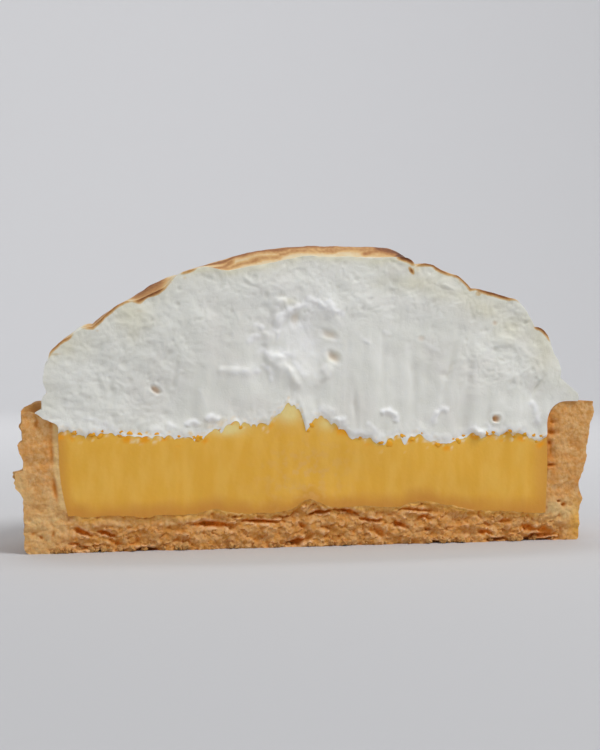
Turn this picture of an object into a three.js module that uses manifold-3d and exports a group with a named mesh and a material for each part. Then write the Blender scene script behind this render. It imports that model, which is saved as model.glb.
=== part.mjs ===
// Half of a small lemon meringue tartlet, cut through the middle.
// Millimetres, +Z up. The cut face looks to -Y and the tartlet stands on its flat underside.
import * as THREE from 'three';
import { mergeVertices } from 'three/addons/utils/BufferGeometryUtils.js';
import Module from 'manifold-3d';

const wasm = await Module();
wasm.setup();
const { Manifold, Mesh: SolidMesh } = wasm;

// ---------------------------------------------------------------- driving sizes

// crust: a straight-sided pastry case, a little wider at the rim
const FOOT_RADIUS = 39.1;
const FOOT_LEAN = 0.2;          // the left side stands further out than the right
const FLARE = 1.4;              // the rim is wider than the foot by this much
const FLARE_LEAN = 0.8;         // and more so on the right
const RIM_HEIGHT = 20;
const RIM_RIPPLE = 0.25;
const DIP_OUTSIDE = 1.1;        // the rim has crumbled away by this much at the left end of the cut
const DIP_INSIDE = 2.0;         // and by this much at its inner side
const DIP_WIDTH = 4;            // measured inwards from DIP_FROM
const DIP_FROM = 39.5;
const DIP_REACH = 2.2;          // how far it runs back from the cut
const DIP_SOFT = 0.9;
const INNER_RADIUS = 34.53;     // inside of the wall, so the wall is 4 to 6 thick
const INNER_LEAN = 0.58;        // further out on the left, from LEAN_TOP upwards
const LEAN_TOP = 15;
const INNER_FILLET = 1.25;      // thickening where the wall meets the floor
const FILLET_LEAN = 0.35;       // thicker on the left
const FILLET_TOP = 12;
const INNER_CORNER = 3.1;       // rounded inner edge of the rim
const OUTER_CORNER = 0.6;       // rounded outer edge of the rim
const FOOT_EDGE = 0.5;          // small bevel round the foot
const FLAKES = [                // thin flakes that stand off the left wall: foot, top, reach
  [7.4, 11.0, 1.1],
  [12.1, 14.8, 0.6],
];
const FLAKE_EDGE = 0.4;         // height over which a flake ends at its top
const FLAKE_GROWTH = 1.5;       // how soon a flake reaches its full width
const FLAKE_LENGTH = 2.3;       // how far round the wall a flake runs from the cut
const FLAKE_SOFT = 0.9;
const FLOOR_LEVEL = 4.7;        // top of the pastry floor at the edges
const FLOOR_LUMPS = [           // where the floor rises, across the cut: place, half width, rise
  [-14, 2.2, 0.8],
  [-1, 2.6, 1.6],
  [5, 5.0, 0.8],
  [15.5, 4.2, 1.2],
  [34, 9, -0.8],
];
const WALL_ROUGH = 0.22;        // unevenness of the outside
const WALL_CELLS = 7;           // bumps per radius, round the case
const WALL_CELL_HEIGHT = 5;
const WALL_EVEN_TO = 3;         // the foot stays round up to about here
const INSIDE_ROUGH = 0.2;
const INSIDE_CELLS = 5;
const INSIDE_CELL_HEIGHT = 6;
const RIM_CELLS = 4;
const FLOOR_ROUGH = 0.25;
const FLOOR_FIELD = [4, 4, 3.5];
const FLOOR_REACH = 5;

// curd: fills the case to a few millimetres under the rim
const CURD_LEVEL = 15.1;
const CURD_LUMPS = [            // soft peaks and dips of its top: place, half width, rise
  [-33.5, 3.2, 1.2],
  [-26.5, 4.5, 0.7],
  [-16.5, 2.4, -0.6],
  [-10, 4.2, 2.1],
  [-4.4, 1.7, 3.3],
  [-2.6, 1.2, 2.2],
  [0.3, 1.4, 1.7],
  [2.7, 1.5, 1.6],
  [9.5, 1.6, -0.6],
  [18.4, 3.2, -1.1],
];
const LUMP_REACH = 5;           // how far a lump runs back from the cut face
const CURD_ROLL = 0.4;
const ROLL_FIELD = [6, 6, 5.5];
const ROLL_SHIFT = 9;
const CURD_RIPPLE = 0.25;
const RIPPLE_FIELD = [2.8, 2.8, 7.5];
const ROLL_REACH = 7;
const GAP = 0.3;                // clearance between neighbouring layers

// meringue: a rope piped in a spiral, rising towards the middle
const CENTRE_HEIGHT = 39.7;
const VALLEY_RIGHT = [14.3, 22.7, 31.7, 35.6];
const VALLEY_LEFT = [19.2, 30.7, 36.4, 37.0];
const VALLEY_HEIGHT_RIGHT = [39.6, 36.4, 30.4, 23.2];
const VALLEY_HEIGHT_LEFT = [37.2, 30.2, 25.6, 22.4];
const BULGE_RIGHT = [2.3, 0.85, 1.95, 1.3];
const BULGE_LEFT = [2.3, 0.45, 0.8, 0.3];
const BACK_BULGE = [0.0, 1.2, 0.9, 0.9];   // extra roundness of the rope round the back
const BULGE_SKEW = [0.0, 0.0, 0.45, -0.35];  // above 0 the rope is fullest near its outer edge
const POWER_RIGHT = [11, 4, 1.2, 4];         // a high power makes a flat-topped arch
const POWER_LEFT = [2.5, 4, 4, 4];
const POWER_BLEND = 1.6;
const COIL_STEPS = [8, 5, 6, 5];
const SKIRT_RIGHT = 38.5;       // the foot of the meringue, lapping over the rim
const SKIRT_LEFT = 37.3;
const SKIRT = [                 // its outline below the lowest coil: inwards from the skirt, above the rim
  [0.35, -2.6],
  [0.3, -2.1],
  [0.1, -1.3],
  [0.0, 0.3],
  [0.6, 1.5],
];
const SMEAR = [0.3, 0, 0.1];    // the same inwards from the smear, for the lowest three
const SMEAR_RADIUS = 38.1;      // at the left end it is smeared over the crumbled rim
const SMEAR_REACH = 2.3;
const SMEAR_SOFT = 0.7;
const DOME_FOOT = 8;            // depth to which the dome is drawn, inside the curd
const DOME_FOOT_WIDER = 1.2;    // wider there than the inside of the wall
const ROPE_UNEVEN = 0.35;
const ROPE_CELL = 4.5;
const ROPE_SEED = 11;
const ROPE_EVEN_TO = 8;         // the middle of the top stays round up to about here
const ROPE_SIDEWAYS = 0.8;      // share of the unevenness that moves the skin outwards
const ROPE_UPWARDS = 0.7;       // and upwards
const EDGE_DROPS = [            // where the knife drew the skin down: place, half width, drop
  [-22.5, 3.0, 1.2],
  [-8.5, 6.0, 2.15],
  [5.5, 8.6, 2.05],
  [20, 2.5, 0.5],
];
const DROP_REACH = 3.1;

// relief of the cut faces: depths behind the knife's plane, and fields as cell width, cell height, seed
const CRUST_GRAIN = 0.35;
const GRAIN_FIELD = [1.7, 1.3, 25.1];
const CRUST_PITS = 1.5;
const PIT_FIELD = [3.4, 1.5, 21.3];
const PIT_START = 0.15;
const SEAM_DEPTH = 0.7;         // an open seam under the top of the floor
const SEAM_DOWN = 1.4;
const SEAM_HALF = 0.5;
const SEAM_LENGTH = 7;
const SEAM_SEED = 31;
const FLOOR_RELIEF = 1.0;       // share of the relief on the torn floor
const FLOOR_DEPTH = 0.1;
const WALL_RELIEF = 0.25;       // and on the compact wall
const WALL_DEPTH = 0.2;
const TORN_LEFT = -34.5;        // the floor is torn between these
const TORN_RIGHT = 35.9;
const TORN_TOP_SOFT = 0.4;      // and end this softly, upwards and sideways
const TORN_SIDE_SOFT = 2;
const CURD_STREAK = 0.05;
const CURD_STREAK_FIELD = [1.4, 14, 41.5];
const CURD_SOFT = 0.22;
const CURD_SOFT_FIELD = [7, 5, 43.5];
const FACE_DEPTH = 0.1;
const FOAM_BROAD = 0.4;
const FOAM_BROAD_FIELD = [7, 6, 51.5];
const FOAM_FINE = 0.2;
const FOAM_FINE_FIELD = [2.6, 2.6, 53.5];
const FOAM_DRAG = 0.3;          // upright drags in the lower right of the foam
const FOAM_DRAG_FIELD = [2.1, 16, 55.5];
const DRAG_TOP = 31;
const DRAG_START = -8;
const DRAG_SOFT = 6;
const TORN_MIDDLE = [-1.2, 29.2, 4.8, 5.8];  // torn patch of the foam: across, up, half width, half height
const TORN_DEPTH = 0.8;
const TORN_RAGGED = 0.25;
const TORN_FIELD = [3, 3, 57.5];
const TORN_LIP = 0.35;
const LIP_PLACE = 1.05;
const LIP_HALF = 0.2;
const LIP_END = [5, 6];         // the lip fades out towards the right
const SHELF = [-11, 24.4, 4.5, 0.7];         // a low ridge left of the patch: across, up, half sizes
const SMALL_HOLES = [           // air bubbles opened by the cut: across, up, radius
  [-22.1, 21.7, 0.5],
  [26.1, 17.5, 0.45],
  [-2.9, 31.4, 0.45],
  [1.9, 29.3, 0.5],
  [2.5, 26.2, 0.45],
];
const HOLE_LENGTH = 1.8;        // a bubble is this much deeper than it is wide

// placing: the whole is set with the middle of its outline over the origin
const MIDDLE_X = 0.33;
const MIDDLE_Y = 20.04;

// mesh fineness
const ROUND_STEPS = 100;
const FAR = 46;                 // half width of the sheets that shape the layers
const FAR_OUT = 62;             // clear of everything, sideways
const UNDER_ALL = -8;
const OVER_ALL = 70;
const WELD = 1e-4;
const SIMPLER_BY = 0.06;

// ---------------------------------------------------------------- small functions

function clamp01(t) {
  return Math.min(1, Math.max(0, t));
}

function ease(t) {
  const u = clamp01(t);
  return u * u * (3 - 2 * u);
}

function mix(a, b, t) {
  return a + (b - a) * t;
}

// repeatable random number in 0..1 for a whole-number cell
function dice(i, j, k) {
  const s = Math.sin(i * 127.1 + j * 311.7 + k * 74.7) * 43758.5453;
  return s - Math.floor(s);
}

// smooth uneven field in -1..1, one cell long in each direction
function uneven(x, y, z) {
  const i = Math.floor(x);
  const j = Math.floor(y);
  const k = Math.floor(z);
  const u = ease(x - i);
  const v = ease(y - j);
  const w = ease(z - k);
  const row = (dj, dk) => mix(dice(i, j + dj, k + dk), dice(i + 1, j + dj, k + dk), u);
  const sheet = (dk) => mix(row(0, dk), row(1, dk), v);
  return 2 * mix(sheet(0), sheet(1), w) - 1;
}

function field(x, z, [wide, high, seed]) {
  return uneven(x / wide, z / high, seed);
}

function bell(distance, half) {
  return Math.exp(-((distance / half) ** 2));
}

// 0 on the right of the cut, 1 on the left, changing evenly round the back
function turn(angle) {
  return angle / Math.PI;
}

// 1 at the left end of the cut, -1 at the right end
function leaning(angle) {
  return -Math.cos(angle);
}

// 1 at the left end of the cut, 0 further than reach behind it
function leftEnd(angle, reach, soft) {
  const behind = Math.abs(FOOT_RADIUS * Math.sin(angle));
  return Math.cos(angle) < 0 ? ease((reach - behind) / soft) : 0;
}

function lumps(table, x, y) {
  let sum = 0;
  for (const [place, half, rise] of table) {
    sum += rise * bell(x - place, half);
  }
  return sum * bell(y, LUMP_REACH);
}

// ---------------------------------------------------------------- crust forms

function flakes(z, angle) {
  let reach = 0;
  for (const [foot, top, far] of FLAKES) {
    const grown = ease((FLAKE_GROWTH * (z - foot)) / (top - foot));
    reach += far * grown * ease((top + FLAKE_EDGE / 2 - z) / FLAKE_EDGE);
  }
  return reach * leftEnd(angle, FLAKE_LENGTH, FLAKE_SOFT);
}

function outerRadius(z, angle) {
  const up = clamp01(z / RIM_HEIGHT);
  const foot = FOOT_RADIUS + FOOT_LEAN * leaning(angle);
  const flare = (FLARE - FLARE_LEAN * leaning(angle)) * up * up;
  const rough = uneven(WALL_CELLS * Math.cos(angle), WALL_CELLS * Math.sin(angle), z / WALL_CELL_HEIGHT);
  return foot + flare + WALL_ROUGH * rough * ease(z / WALL_EVEN_TO);
}

function innerRadius(z, angle) {
  const lean = INNER_LEAN * ease(z / LEAN_TOP) * leaning(angle);
  const fillet = (INNER_FILLET + FILLET_LEAN * leaning(angle)) * (1 - ease(z / FILLET_TOP));
  const x = INSIDE_CELLS * Math.cos(angle) + 20;
  const rough = uneven(x, INSIDE_CELLS * Math.sin(angle), z / INSIDE_CELL_HEIGHT);
  return INNER_RADIUS + lean - fillet + INSIDE_ROUGH * rough;
}

function rimHeight(angle) {
  const ripple = RIM_RIPPLE * uneven(RIM_CELLS * Math.cos(angle) + 40, RIM_CELLS * Math.sin(angle), 0.5);
  return RIM_HEIGHT + ripple;
}

// how far the rim has crumbled away at the left end, more so towards the inside
function rimDip(radius, angle) {
  const inwards = ease((DIP_FROM - radius) / DIP_WIDTH);
  return mix(DIP_OUTSIDE, DIP_INSIDE, inwards) * leftEnd(angle, DIP_REACH, DIP_SOFT);
}

function floorTop(x, y) {
  const rough = FLOOR_ROUGH * field(x, y, FLOOR_FIELD) * bell(y, FLOOR_REACH);
  return FLOOR_LEVEL + lumps(FLOOR_LUMPS, x, y) + rough;
}

function curdTop(x, y) {
  const broad = field(x + ROLL_SHIFT * ROLL_FIELD[0], y, ROLL_FIELD);
  const roll = CURD_ROLL * broad + CURD_RIPPLE * field(x, y, RIPPLE_FIELD);
  return CURD_LEVEL + lumps(CURD_LUMPS, x, y) + roll * bell(y, ROLL_REACH);
}

// ---------------------------------------------------------------- meringue forms

// outline of the piped dome at one angle, from the middle outwards and down, as [radius, height]
function domeOutline(angle) {
  const t = turn(angle);
  const knots = [[0, CENTRE_HEIGHT]];
  for (let k = 0; k < VALLEY_RIGHT.length; k += 1) {
    const radius = mix(VALLEY_RIGHT[k], VALLEY_LEFT[k], t);
    const height = mix(VALLEY_HEIGHT_RIGHT[k], VALLEY_HEIGHT_LEFT[k], t);
    knots.push([radius, height]);
  }
  const points = [[0, CENTRE_HEIGHT + BULGE_RIGHT[0]]];
  for (let k = 0; k < COIL_STEPS.length; k += 1) {
    const [r0, z0] = knots[k];
    const [r1, z1] = knots[k + 1];
    const length = Math.hypot(r1 - r0, z1 - z0);
    const nr = (z0 - z1) / length;
    const nz = (r1 - r0) / length;
    const round = BACK_BULGE[k] * Math.sin(Math.PI * clamp01(t));
    const bulge = mix(BULGE_RIGHT[k], BULGE_LEFT[k], t) + round;
    const skew = BULGE_SKEW[k] * (1 - clamp01(t));
    const power = mix(POWER_RIGHT[k], POWER_LEFT[k], clamp01(POWER_BLEND * t));
    for (let i = 1; i <= COIL_STEPS[k]; i += 1) {
      const s = i / COIL_STEPS[k];
      const along = s + skew * s * (1 - s);
      const offMiddle = k === 0 ? s : Math.abs(2 * s - 1);   // the first coil is half an arch
      const full = (1 - offMiddle ** power) * bulge;
      points.push([mix(r0, r1, along) + nr * full, mix(z0, z1, along) + nz * full]);
    }
  }
  return points;
}

function skinDrop(x, y) {
  let sum = 0;
  for (const [place, half, drop] of EDGE_DROPS) {
    sum += drop * Math.exp(-(((x - place) / half) ** 4));
  }
  return sum * (1 - ease(Math.abs(y) / DROP_REACH));
}

function domePoint(radius, height, angle) {
  const x0 = radius * Math.cos(angle);
  const y0 = radius * Math.sin(angle);
  const rough = ROPE_UNEVEN * uneven(x0 / ROPE_CELL, y0 / ROPE_CELL, height / ROPE_CELL + ROPE_SEED);
  const grown = radius + rough * ease((radius - ROPE_EVEN_TO) / ROPE_EVEN_TO) * ROPE_SIDEWAYS;
  const x = grown * Math.cos(angle);
  const y = grown * Math.sin(angle);
  return [x, y, height + rough * ROPE_UPWARDS - skinDrop(x, y)];
}

// ---------------------------------------------------------------- relief of the cut faces
// each gives how far the face lies behind the cutting plane; below 0 it stands proud

function crustFace(x, z) {
  const pits = CRUST_PITS * Math.max(0, field(x, z, PIT_FIELD) - PIT_START);
  const under = z - floorTop(x, 0) + SEAM_DOWN;
  const seam = SEAM_DEPTH * bell(under, SEAM_HALF) * ease(uneven(x / SEAM_LENGTH, 0, SEAM_SEED) * 2);
  const relief = CRUST_GRAIN * field(x, z, GRAIN_FIELD) + pits + seam;
  const sides = ease((x - TORN_LEFT) / TORN_SIDE_SOFT) * ease((TORN_RIGHT - x) / TORN_SIDE_SOFT);
  const torn = ease((floorTop(x, 0) - z) / TORN_TOP_SOFT) * sides;
  return mix(WALL_DEPTH + WALL_RELIEF * relief, FLOOR_DEPTH + FLOOR_RELIEF * relief, torn);
}

function curdFace(x, z) {
  const streak = CURD_STREAK * field(x, z, CURD_STREAK_FIELD);
  return FACE_DEPTH + streak + CURD_SOFT * field(x, z, CURD_SOFT_FIELD);
}

function meringueFace(x, z) {
  const broad = FOAM_BROAD * field(x, z, FOAM_BROAD_FIELD);
  const fine = FOAM_FINE * field(x, z, FOAM_FINE_FIELD);
  const dragged = ease((DRAG_TOP - z) / DRAG_SOFT) * ease((x - DRAG_START) / DRAG_SOFT);
  const drag = FOAM_DRAG * field(x, z, FOAM_DRAG_FIELD) * dragged;
  const [tornX, tornZ, tornHalfWidth, tornHalfHeight] = TORN_MIDDLE;
  const out = Math.hypot((x - tornX) / tornHalfWidth, (z - tornZ) / tornHalfHeight);
  const torn = out + TORN_RAGGED * field(x, z, TORN_FIELD);
  const bowl = TORN_DEPTH * (1 - ease(torn));
  const lip = TORN_LIP * bell(torn - LIP_PLACE, LIP_HALF) * ease((LIP_END[0] - x) / LIP_END[1]);
  const shelf = TORN_LIP * bell(x - SHELF[0], SHELF[2]) * bell(z - SHELF[1], SHELF[3]);
  return FACE_DEPTH + broad + fine + drag + bowl - lip - shelf;
}

// ---------------------------------------------------------------- solids from surfaces

// a closed three.js geometry with its doubled seam vertices merged, as a manifold solid
function solid(geometry) {
  geometry.deleteAttribute('normal');
  geometry.deleteAttribute('uv');
  const merged = mergeVertices(geometry, WELD);
  const corners = merged.index.array;
  const kept = [];
  for (let i = 0; i < corners.length; i += 3) {
    const [a, b, c] = corners.subarray(i, i + 3);
    if (a !== b && b !== c && c !== a) {
      kept.push(a, b, c);
    }
  }
  const vertProperties = merged.attributes.position.array;
  return new Manifold(new SolidMesh({ numProp: 3, vertProperties, triVerts: new Uint32Array(kept) }));
}

// surface turned round the Z axis with an outline that changes on the way:
// outline(angle) lists [radius, height] from the lower pole to the upper one
function turned(outline, place) {
  const rows = outline(0).length;
  const spare = outline(0).map(([radius, height]) => new THREE.Vector2(radius, height));
  const lathe = new THREE.LatheGeometry(spare, ROUND_STEPS);
  const spots = lathe.attributes.position;
  for (let j = 0; j <= ROUND_STEPS; j += 1) {
    // counted from the front, so that the spiral's seam lies in the half that is cut away
    const angle = (((j % ROUND_STEPS) + 0.5) / ROUND_STEPS) * 2 * Math.PI - Math.PI / 2;
    outline(angle).forEach(([radius, height], i) => {
      spots.setXYZ(j * rows + i, ...place(radius, height, angle));
    });
  }
  return solid(lathe);
}

function inPlace(radius, height, angle) {
  return [radius * Math.cos(angle), radius * Math.sin(angle), height];
}

// block over a grid of us by vs: one side follows level(u, v), the other is flat
// place(u, v, level) gives the point
function block(us, vs, level, flat, place) {
  const nu = us.length - 1;
  const nv = vs.length - 1;
  const box = new THREE.BoxGeometry(nu, nv, 1, nu, nv, 1);
  const spots = box.attributes.position;
  for (let i = 0; i < spots.count; i += 1) {
    const u = us[Math.round(spots.getX(i) + nu / 2)];
    const v = vs[Math.round(spots.getY(i) + nv / 2)];
    const onSheet = spots.getZ(i) > 0;
    spots.setXYZ(i, ...place(u, v, onSheet ? level(u, v) : flat));
  }
  return box;
}

function turnInsideOut(geometry) {
  const corners = geometry.index.array;
  for (let i = 0; i < corners.length; i += 3) {
    [corners[i + 1], corners[i + 2]] = [corners[i + 2], corners[i + 1]];
  }
  return geometry;
}

function line(from, to, step) {
  const count = Math.max(1, Math.round((to - from) / step));
  return Array.from({ length: count + 1 }, (_, i) => mix(from, to, i / count));
}

const ACROSS = [...line(-FAR, -8, 1.9), ...line(-7, 6, 1), ...line(7.5, FAR, 1.9)];
const BACKWARD = [-6, -2, 0, 1.5, 3.2, 5.2, 8, 12, 17, 23, 30, 38, 46];
const PASTRY_ROWS = [2.4, 5, 7.4, 9.2, 11, 11.3, 12.4, 14.7, 15.1, 17.5, 20];
const INSIDE_ROWS = [0, 3, 6, 9, 12, 15];
const UNDER_FLOOR = -3;
const OVER_RIM = 26;

function below(level) {
  return solid(block(ACROSS, BACKWARD, level, UNDER_ALL, (x, y, h) => [x, y, h]));
}

function above(level) {
  return solid(turnInsideOut(block(ACROSS, BACKWARD, level, OVER_ALL, (x, y, h) => [x, y, h])));
}

// everything in front of an uneven cut face
function frontOf(face, xs, zs) {
  return solid(turnInsideOut(block(xs, zs, face, -FAR_OUT, (x, z, h) => [x, h, z])));
}

// all that lies inside the case and over its rim, kept `gap` away from the pastry
function cavity(gap) {
  const outline = (angle) => {
    const rim = rimHeight(angle);
    const points = [[0, UNDER_FLOOR], [innerRadius(0, angle) - gap, UNDER_FLOOR]];
    for (const z of INSIDE_ROWS) {
      points.push([innerRadius(z, angle) - gap, z]);
    }
    const inside = innerRadius(rim, angle) + INNER_CORNER;
    for (const bend of line(0, Math.PI / 2, Math.PI / 8)) {
      const r = inside - (INNER_CORNER + gap) * Math.cos(bend);
      const z = rim - INNER_CORNER + (INNER_CORNER + gap) * Math.sin(bend);
      points.push([r, z - rimDip(r, angle) * Math.sin(bend)]);
    }
    const outside = outerRadius(rim, angle) - OUTER_CORNER;
    for (const bend of line(0, Math.PI / 3, Math.PI / 6)) {
      const r = outside + (OUTER_CORNER + gap) * Math.sin(bend);
      const z = rim - OUTER_CORNER + (OUTER_CORNER + gap) * Math.cos(bend);
      points.push([r, z - rimDip(r, angle)]);
    }
    points.push([FAR_OUT, rim - OUTER_CORNER / 2], [FAR_OUT, OVER_ALL], [0, OVER_ALL]);
    return points;
  };
  return turned(outline, inPlace);
}

function pastryBody() {
  const outline = (angle) => {
    const points = [[0, 0], [outerRadius(0, angle) - FOOT_EDGE, 0], [outerRadius(0, angle), FOOT_EDGE]];
    for (const z of PASTRY_ROWS) {
      points.push([outerRadius(z, angle) + flakes(z, angle), z]);
    }
    points.push([outerRadius(RIM_HEIGHT, angle), OVER_RIM], [0, OVER_RIM]);
    return points;
  };
  return turned(outline, inPlace);
}

function pipedDome() {
  const outline = (angle) => {
    const skirt = mix(SKIRT_RIGHT, SKIRT_LEFT, turn(angle));
    const smear = leftEnd(angle, SMEAR_REACH, SMEAR_SOFT);
    const foot = [[0, DOME_FOOT], [INNER_RADIUS + DOME_FOOT_WIDER, DOME_FOOT]];
    SKIRT.forEach(([inwards, up], k) => {
      const plain = skirt - inwards;
      const radius = k < SMEAR.length ? mix(plain, SMEAR_RADIUS - SMEAR[k], smear) : plain;
      foot.push([radius, RIM_HEIGHT + up]);
    });
    return [...foot, ...domeOutline(angle).reverse()];
  };
  return turned(outline, domePoint);
}

function openedBubbles() {
  return SMALL_HOLES.map(([x, z, radius]) => {
    const ball = new THREE.IcosahedronGeometry(radius, 1);
    ball.scale(1, HOLE_LENGTH, 1);
    ball.translate(x, meringueFace(x, z), z);
    return solid(ball);
  });
}

// ---------------------------------------------------------------- the three layers

const bodyOfPastry = pastryBody();
const openCase = cavity(0);
const filling = cavity(GAP);

const CRUST_ROWS = [...line(-2, 7, 0.9), ...line(8.2, 22.2, 1.4), 28];
const crustFront = frontOf(crustFace, line(-FAR, FAR, 1.0), CRUST_ROWS);
const crust = bodyOfPastry
  .subtract(openCase.intersect(above(floorTop)))
  .subtract(crustFront);

const curdFront = frontOf(curdFace, line(-FAR, FAR, 2.2), line(0, 24, 2));
const curd = filling
  .intersect(above((x, y) => floorTop(x, y) + GAP))
  .intersect(below(curdTop))
  .subtract(curdFront);

const meringueFront = frontOf(meringueFace, line(-FAR, FAR, 1.4), line(10, 48, 1.4));
const meringue = pipedDome()
  .intersect(filling)
  .intersect(above((x, y) => curdTop(x, y) + GAP))
  .subtract(meringueFront)
  .subtract(Manifold.union(openedBubbles()));

// ---------------------------------------------------------------- meshes

function largest(shape) {
  const pieces = shape.decompose();
  return pieces.reduce((best, piece) => (piece.volume() > best.volume() ? piece : best));
}

function layer(name, shape, colour, roughness) {
  const { vertProperties, triVerts, numProp } = largest(shape).simplify(SIMPLER_BY).getMesh();
  const geometry = new THREE.BufferGeometry();
  geometry.setAttribute('position', new THREE.BufferAttribute(vertProperties, numProp));
  geometry.setIndex(new THREE.BufferAttribute(new Uint32Array(triVerts), 1));
  geometry.computeVertexNormals();
  const material = new THREE.MeshStandardMaterial({ color: colour, roughness, metalness: 0 });
  const mesh = new THREE.Mesh(geometry, material);
  mesh.name = name;
  return mesh;
}

const tartlet = new THREE.Group();
tartlet.position.set(-MIDDLE_X, -MIDDLE_Y, 0);
tartlet.add(layer('crust', crust, 0xb9824c, 0.85));
tartlet.add(layer('curd', curd, 0xd9a544, 0.35));
tartlet.add(layer('meringue', meringue, 0xf1ece0, 0.6));

export default tartlet;
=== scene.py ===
# %% [markdown]
# # Half a lemon meringue tartlet
# A tartlet like this is three things stacked in one baked case: shortcrust pastry, a set lemon
# curd and a spiral of piped meringue browned under a flame. Cut in half, every layer shows its own
# kind of surface: torn crumb, smooth gel and soft foam. This lesson builds each layer as a closed
# mesh, worked out by formula, and gives each one a procedural material.
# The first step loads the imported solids, so that every layer lands exactly where its solid is.

# %% Load the frame
import math

import bpy
import numpy as np
from mathutils import Matrix, Vector


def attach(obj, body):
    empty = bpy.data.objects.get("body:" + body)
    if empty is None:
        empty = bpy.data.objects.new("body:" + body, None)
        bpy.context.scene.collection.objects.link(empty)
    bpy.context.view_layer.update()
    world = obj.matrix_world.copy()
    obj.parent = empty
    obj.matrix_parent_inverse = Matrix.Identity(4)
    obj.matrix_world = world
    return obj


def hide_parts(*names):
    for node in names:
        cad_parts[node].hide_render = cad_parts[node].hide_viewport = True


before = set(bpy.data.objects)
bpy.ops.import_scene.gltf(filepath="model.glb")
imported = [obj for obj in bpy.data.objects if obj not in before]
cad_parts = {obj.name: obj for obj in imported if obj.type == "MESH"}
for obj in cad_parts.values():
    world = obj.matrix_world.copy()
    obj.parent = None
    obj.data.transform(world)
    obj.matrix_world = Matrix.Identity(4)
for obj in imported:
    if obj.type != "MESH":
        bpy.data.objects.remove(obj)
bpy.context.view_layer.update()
MM = 0.001                       # the forms below are written in millimetres
print("nodes:", sorted(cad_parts))

# %% [markdown]
# ## Random, but the same every time
# Food is never even, and a computer's random numbers differ from run to run. A hash of the whole
# numbers around a point always gives the same dice roll for the same place, and blending the eight
# rolls around a point gives a smooth uneven field. Almost everything below that looks random is
# this field at some size, and the loose drops and crumbs come from a generator with a fixed seed,
# so the tartlet comes out the same each time.

# %% Uneven fields
def ease(t):
    u = np.clip(t, 0.0, 1.0)
    return u * u * (3 - 2 * u)


def mix(a, b, t):
    return a + (b - a) * t


def bell(distance, half):
    return np.exp(-((distance / half) ** 2))


def spot(x, z, across, up, half_width, half_height):
    """1 in the middle of a soft ellipse, fading to 0 around it."""
    return bell(np.hypot((x - across) / half_width, (z - up) / half_height), 1)


def dice(i, j, k):
    s = np.sin(i * 127.1 + j * 311.7 + k * 74.7) * 43758.5453
    return s - np.floor(s)


def uneven(x, y, z):
    """Smooth field from -1 to 1 whose bumps are one unit long in each direction."""
    x, y, z = np.broadcast_arrays(np.asarray(x, float), y, z)
    i, j, k = np.floor(x), np.floor(y), np.floor(z)
    u, v, w = ease(x - i), ease(y - j), ease(z - k)

    def row(dj, dk):
        return mix(dice(i, j + dj, k + dk), dice(i + 1, j + dj, k + dk), u)

    def sheet(dk):
        return mix(row(0, dk), row(1, dk), v)

    return 2 * mix(sheet(0), sheet(1), w) - 1


print("field at one point:", round(float(uneven(1.3, 2.7, 0.5)), 4))

# %% [markdown]
# ## Crumbs as cells
# Baked dough breaks into grains. Scattering one seed point in each square of a grid and asking
# which seed is nearest splits a surface into such grains. Rounding each grain off towards its edge
# turns the flat pattern into a layer of crumbs, and a dice roll for each grain lets some stick out.
# Where dough has snapped rather than crumbled, each grain is a flat chip tilted its own way.

# %% Grains
def grains(x, z, salt):
    """Distance to the nearest seed, how much further the next seed is, and a roll per grain."""
    i, j = np.floor(x), np.floor(z)
    nearest = np.full(x.shape, 9.0)
    second = np.full(x.shape, 9.0)
    roll = np.zeros(x.shape)
    for di in (-1, 0, 1):
        for dj in (-1, 0, 1):
            seed_x = i + di + dice(i + di, j + dj, salt)
            seed_z = j + dj + dice(i + di, j + dj, salt + 17)
            gap = np.hypot(x - seed_x, z - seed_z)
            closer = gap < nearest
            second = np.where(closer, nearest, np.minimum(second, gap))
            roll = np.where(closer, dice(i + di, j + dj, salt + 31), roll)
            nearest = np.where(closer, gap, nearest)
    return nearest, second - nearest, roll


def crumb_layer(x, z, size, salt):
    """Depth of a layer of round crumbs: 0 on the proudest crumb, about 1 in the gaps."""
    near, _, roll = grains(x / size, z / size, salt)
    return 1 - (0.45 + 0.55 * roll) * np.sqrt(np.clip(1 - (near / 0.8) ** 2, 0, 1))


def chips(x, z, size, salt):
    """Depth of a layer of flat broken chips: each grain is a facet tilted its own way."""
    i, j = np.floor(x / size), np.floor(z / size)
    nearest = np.full(x.shape, 9.0)
    depth = np.zeros(x.shape)
    for di in (-1, 0, 1):
        for dj in (-1, 0, 1):
            ci, cj = i + di, j + dj
            off_x = x / size - ci - dice(ci, cj, salt)
            off_z = z / size - cj - dice(ci, cj, salt + 17)
            gap = np.hypot(off_x, off_z)
            facet = dice(ci, cj, salt + 31) + 1.2 * (dice(ci, cj, salt + 5) - 0.5) * off_x
            facet = facet + 1.2 * (dice(ci, cj, salt + 7) - 0.3) * off_z
            depth = np.where(gap < nearest, facet, depth)
            nearest = np.minimum(nearest, gap)
    return depth


def pits(x, z, size, share, salt):
    """Scattered round pits, 1 at the bottom of a pit, in the given share of the grains."""
    near, _, roll = grains(x / size, z / size, salt)
    radius = 0.16 + 0.34 * roll / share
    return np.where(roll < share, np.clip(1 - (near / radius) ** 2, 0, 1), 0.0)


print("crumb depths:", crumb_layer(np.array([0.2, 5.5]), np.array([0.4, 1.1]), 1.0, 3).round(2))

# %% [markdown]
# ## The pastry case
# The case was baked in a straight ring, so it is nearly a cylinder: the foot is a little narrower
# than the rim and the wall leans out more on one side than on the other. The floor has risen in
# places. Each of these is one function of the height and of the angle round the tartlet, measured
# from the right end of the cut.

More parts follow.
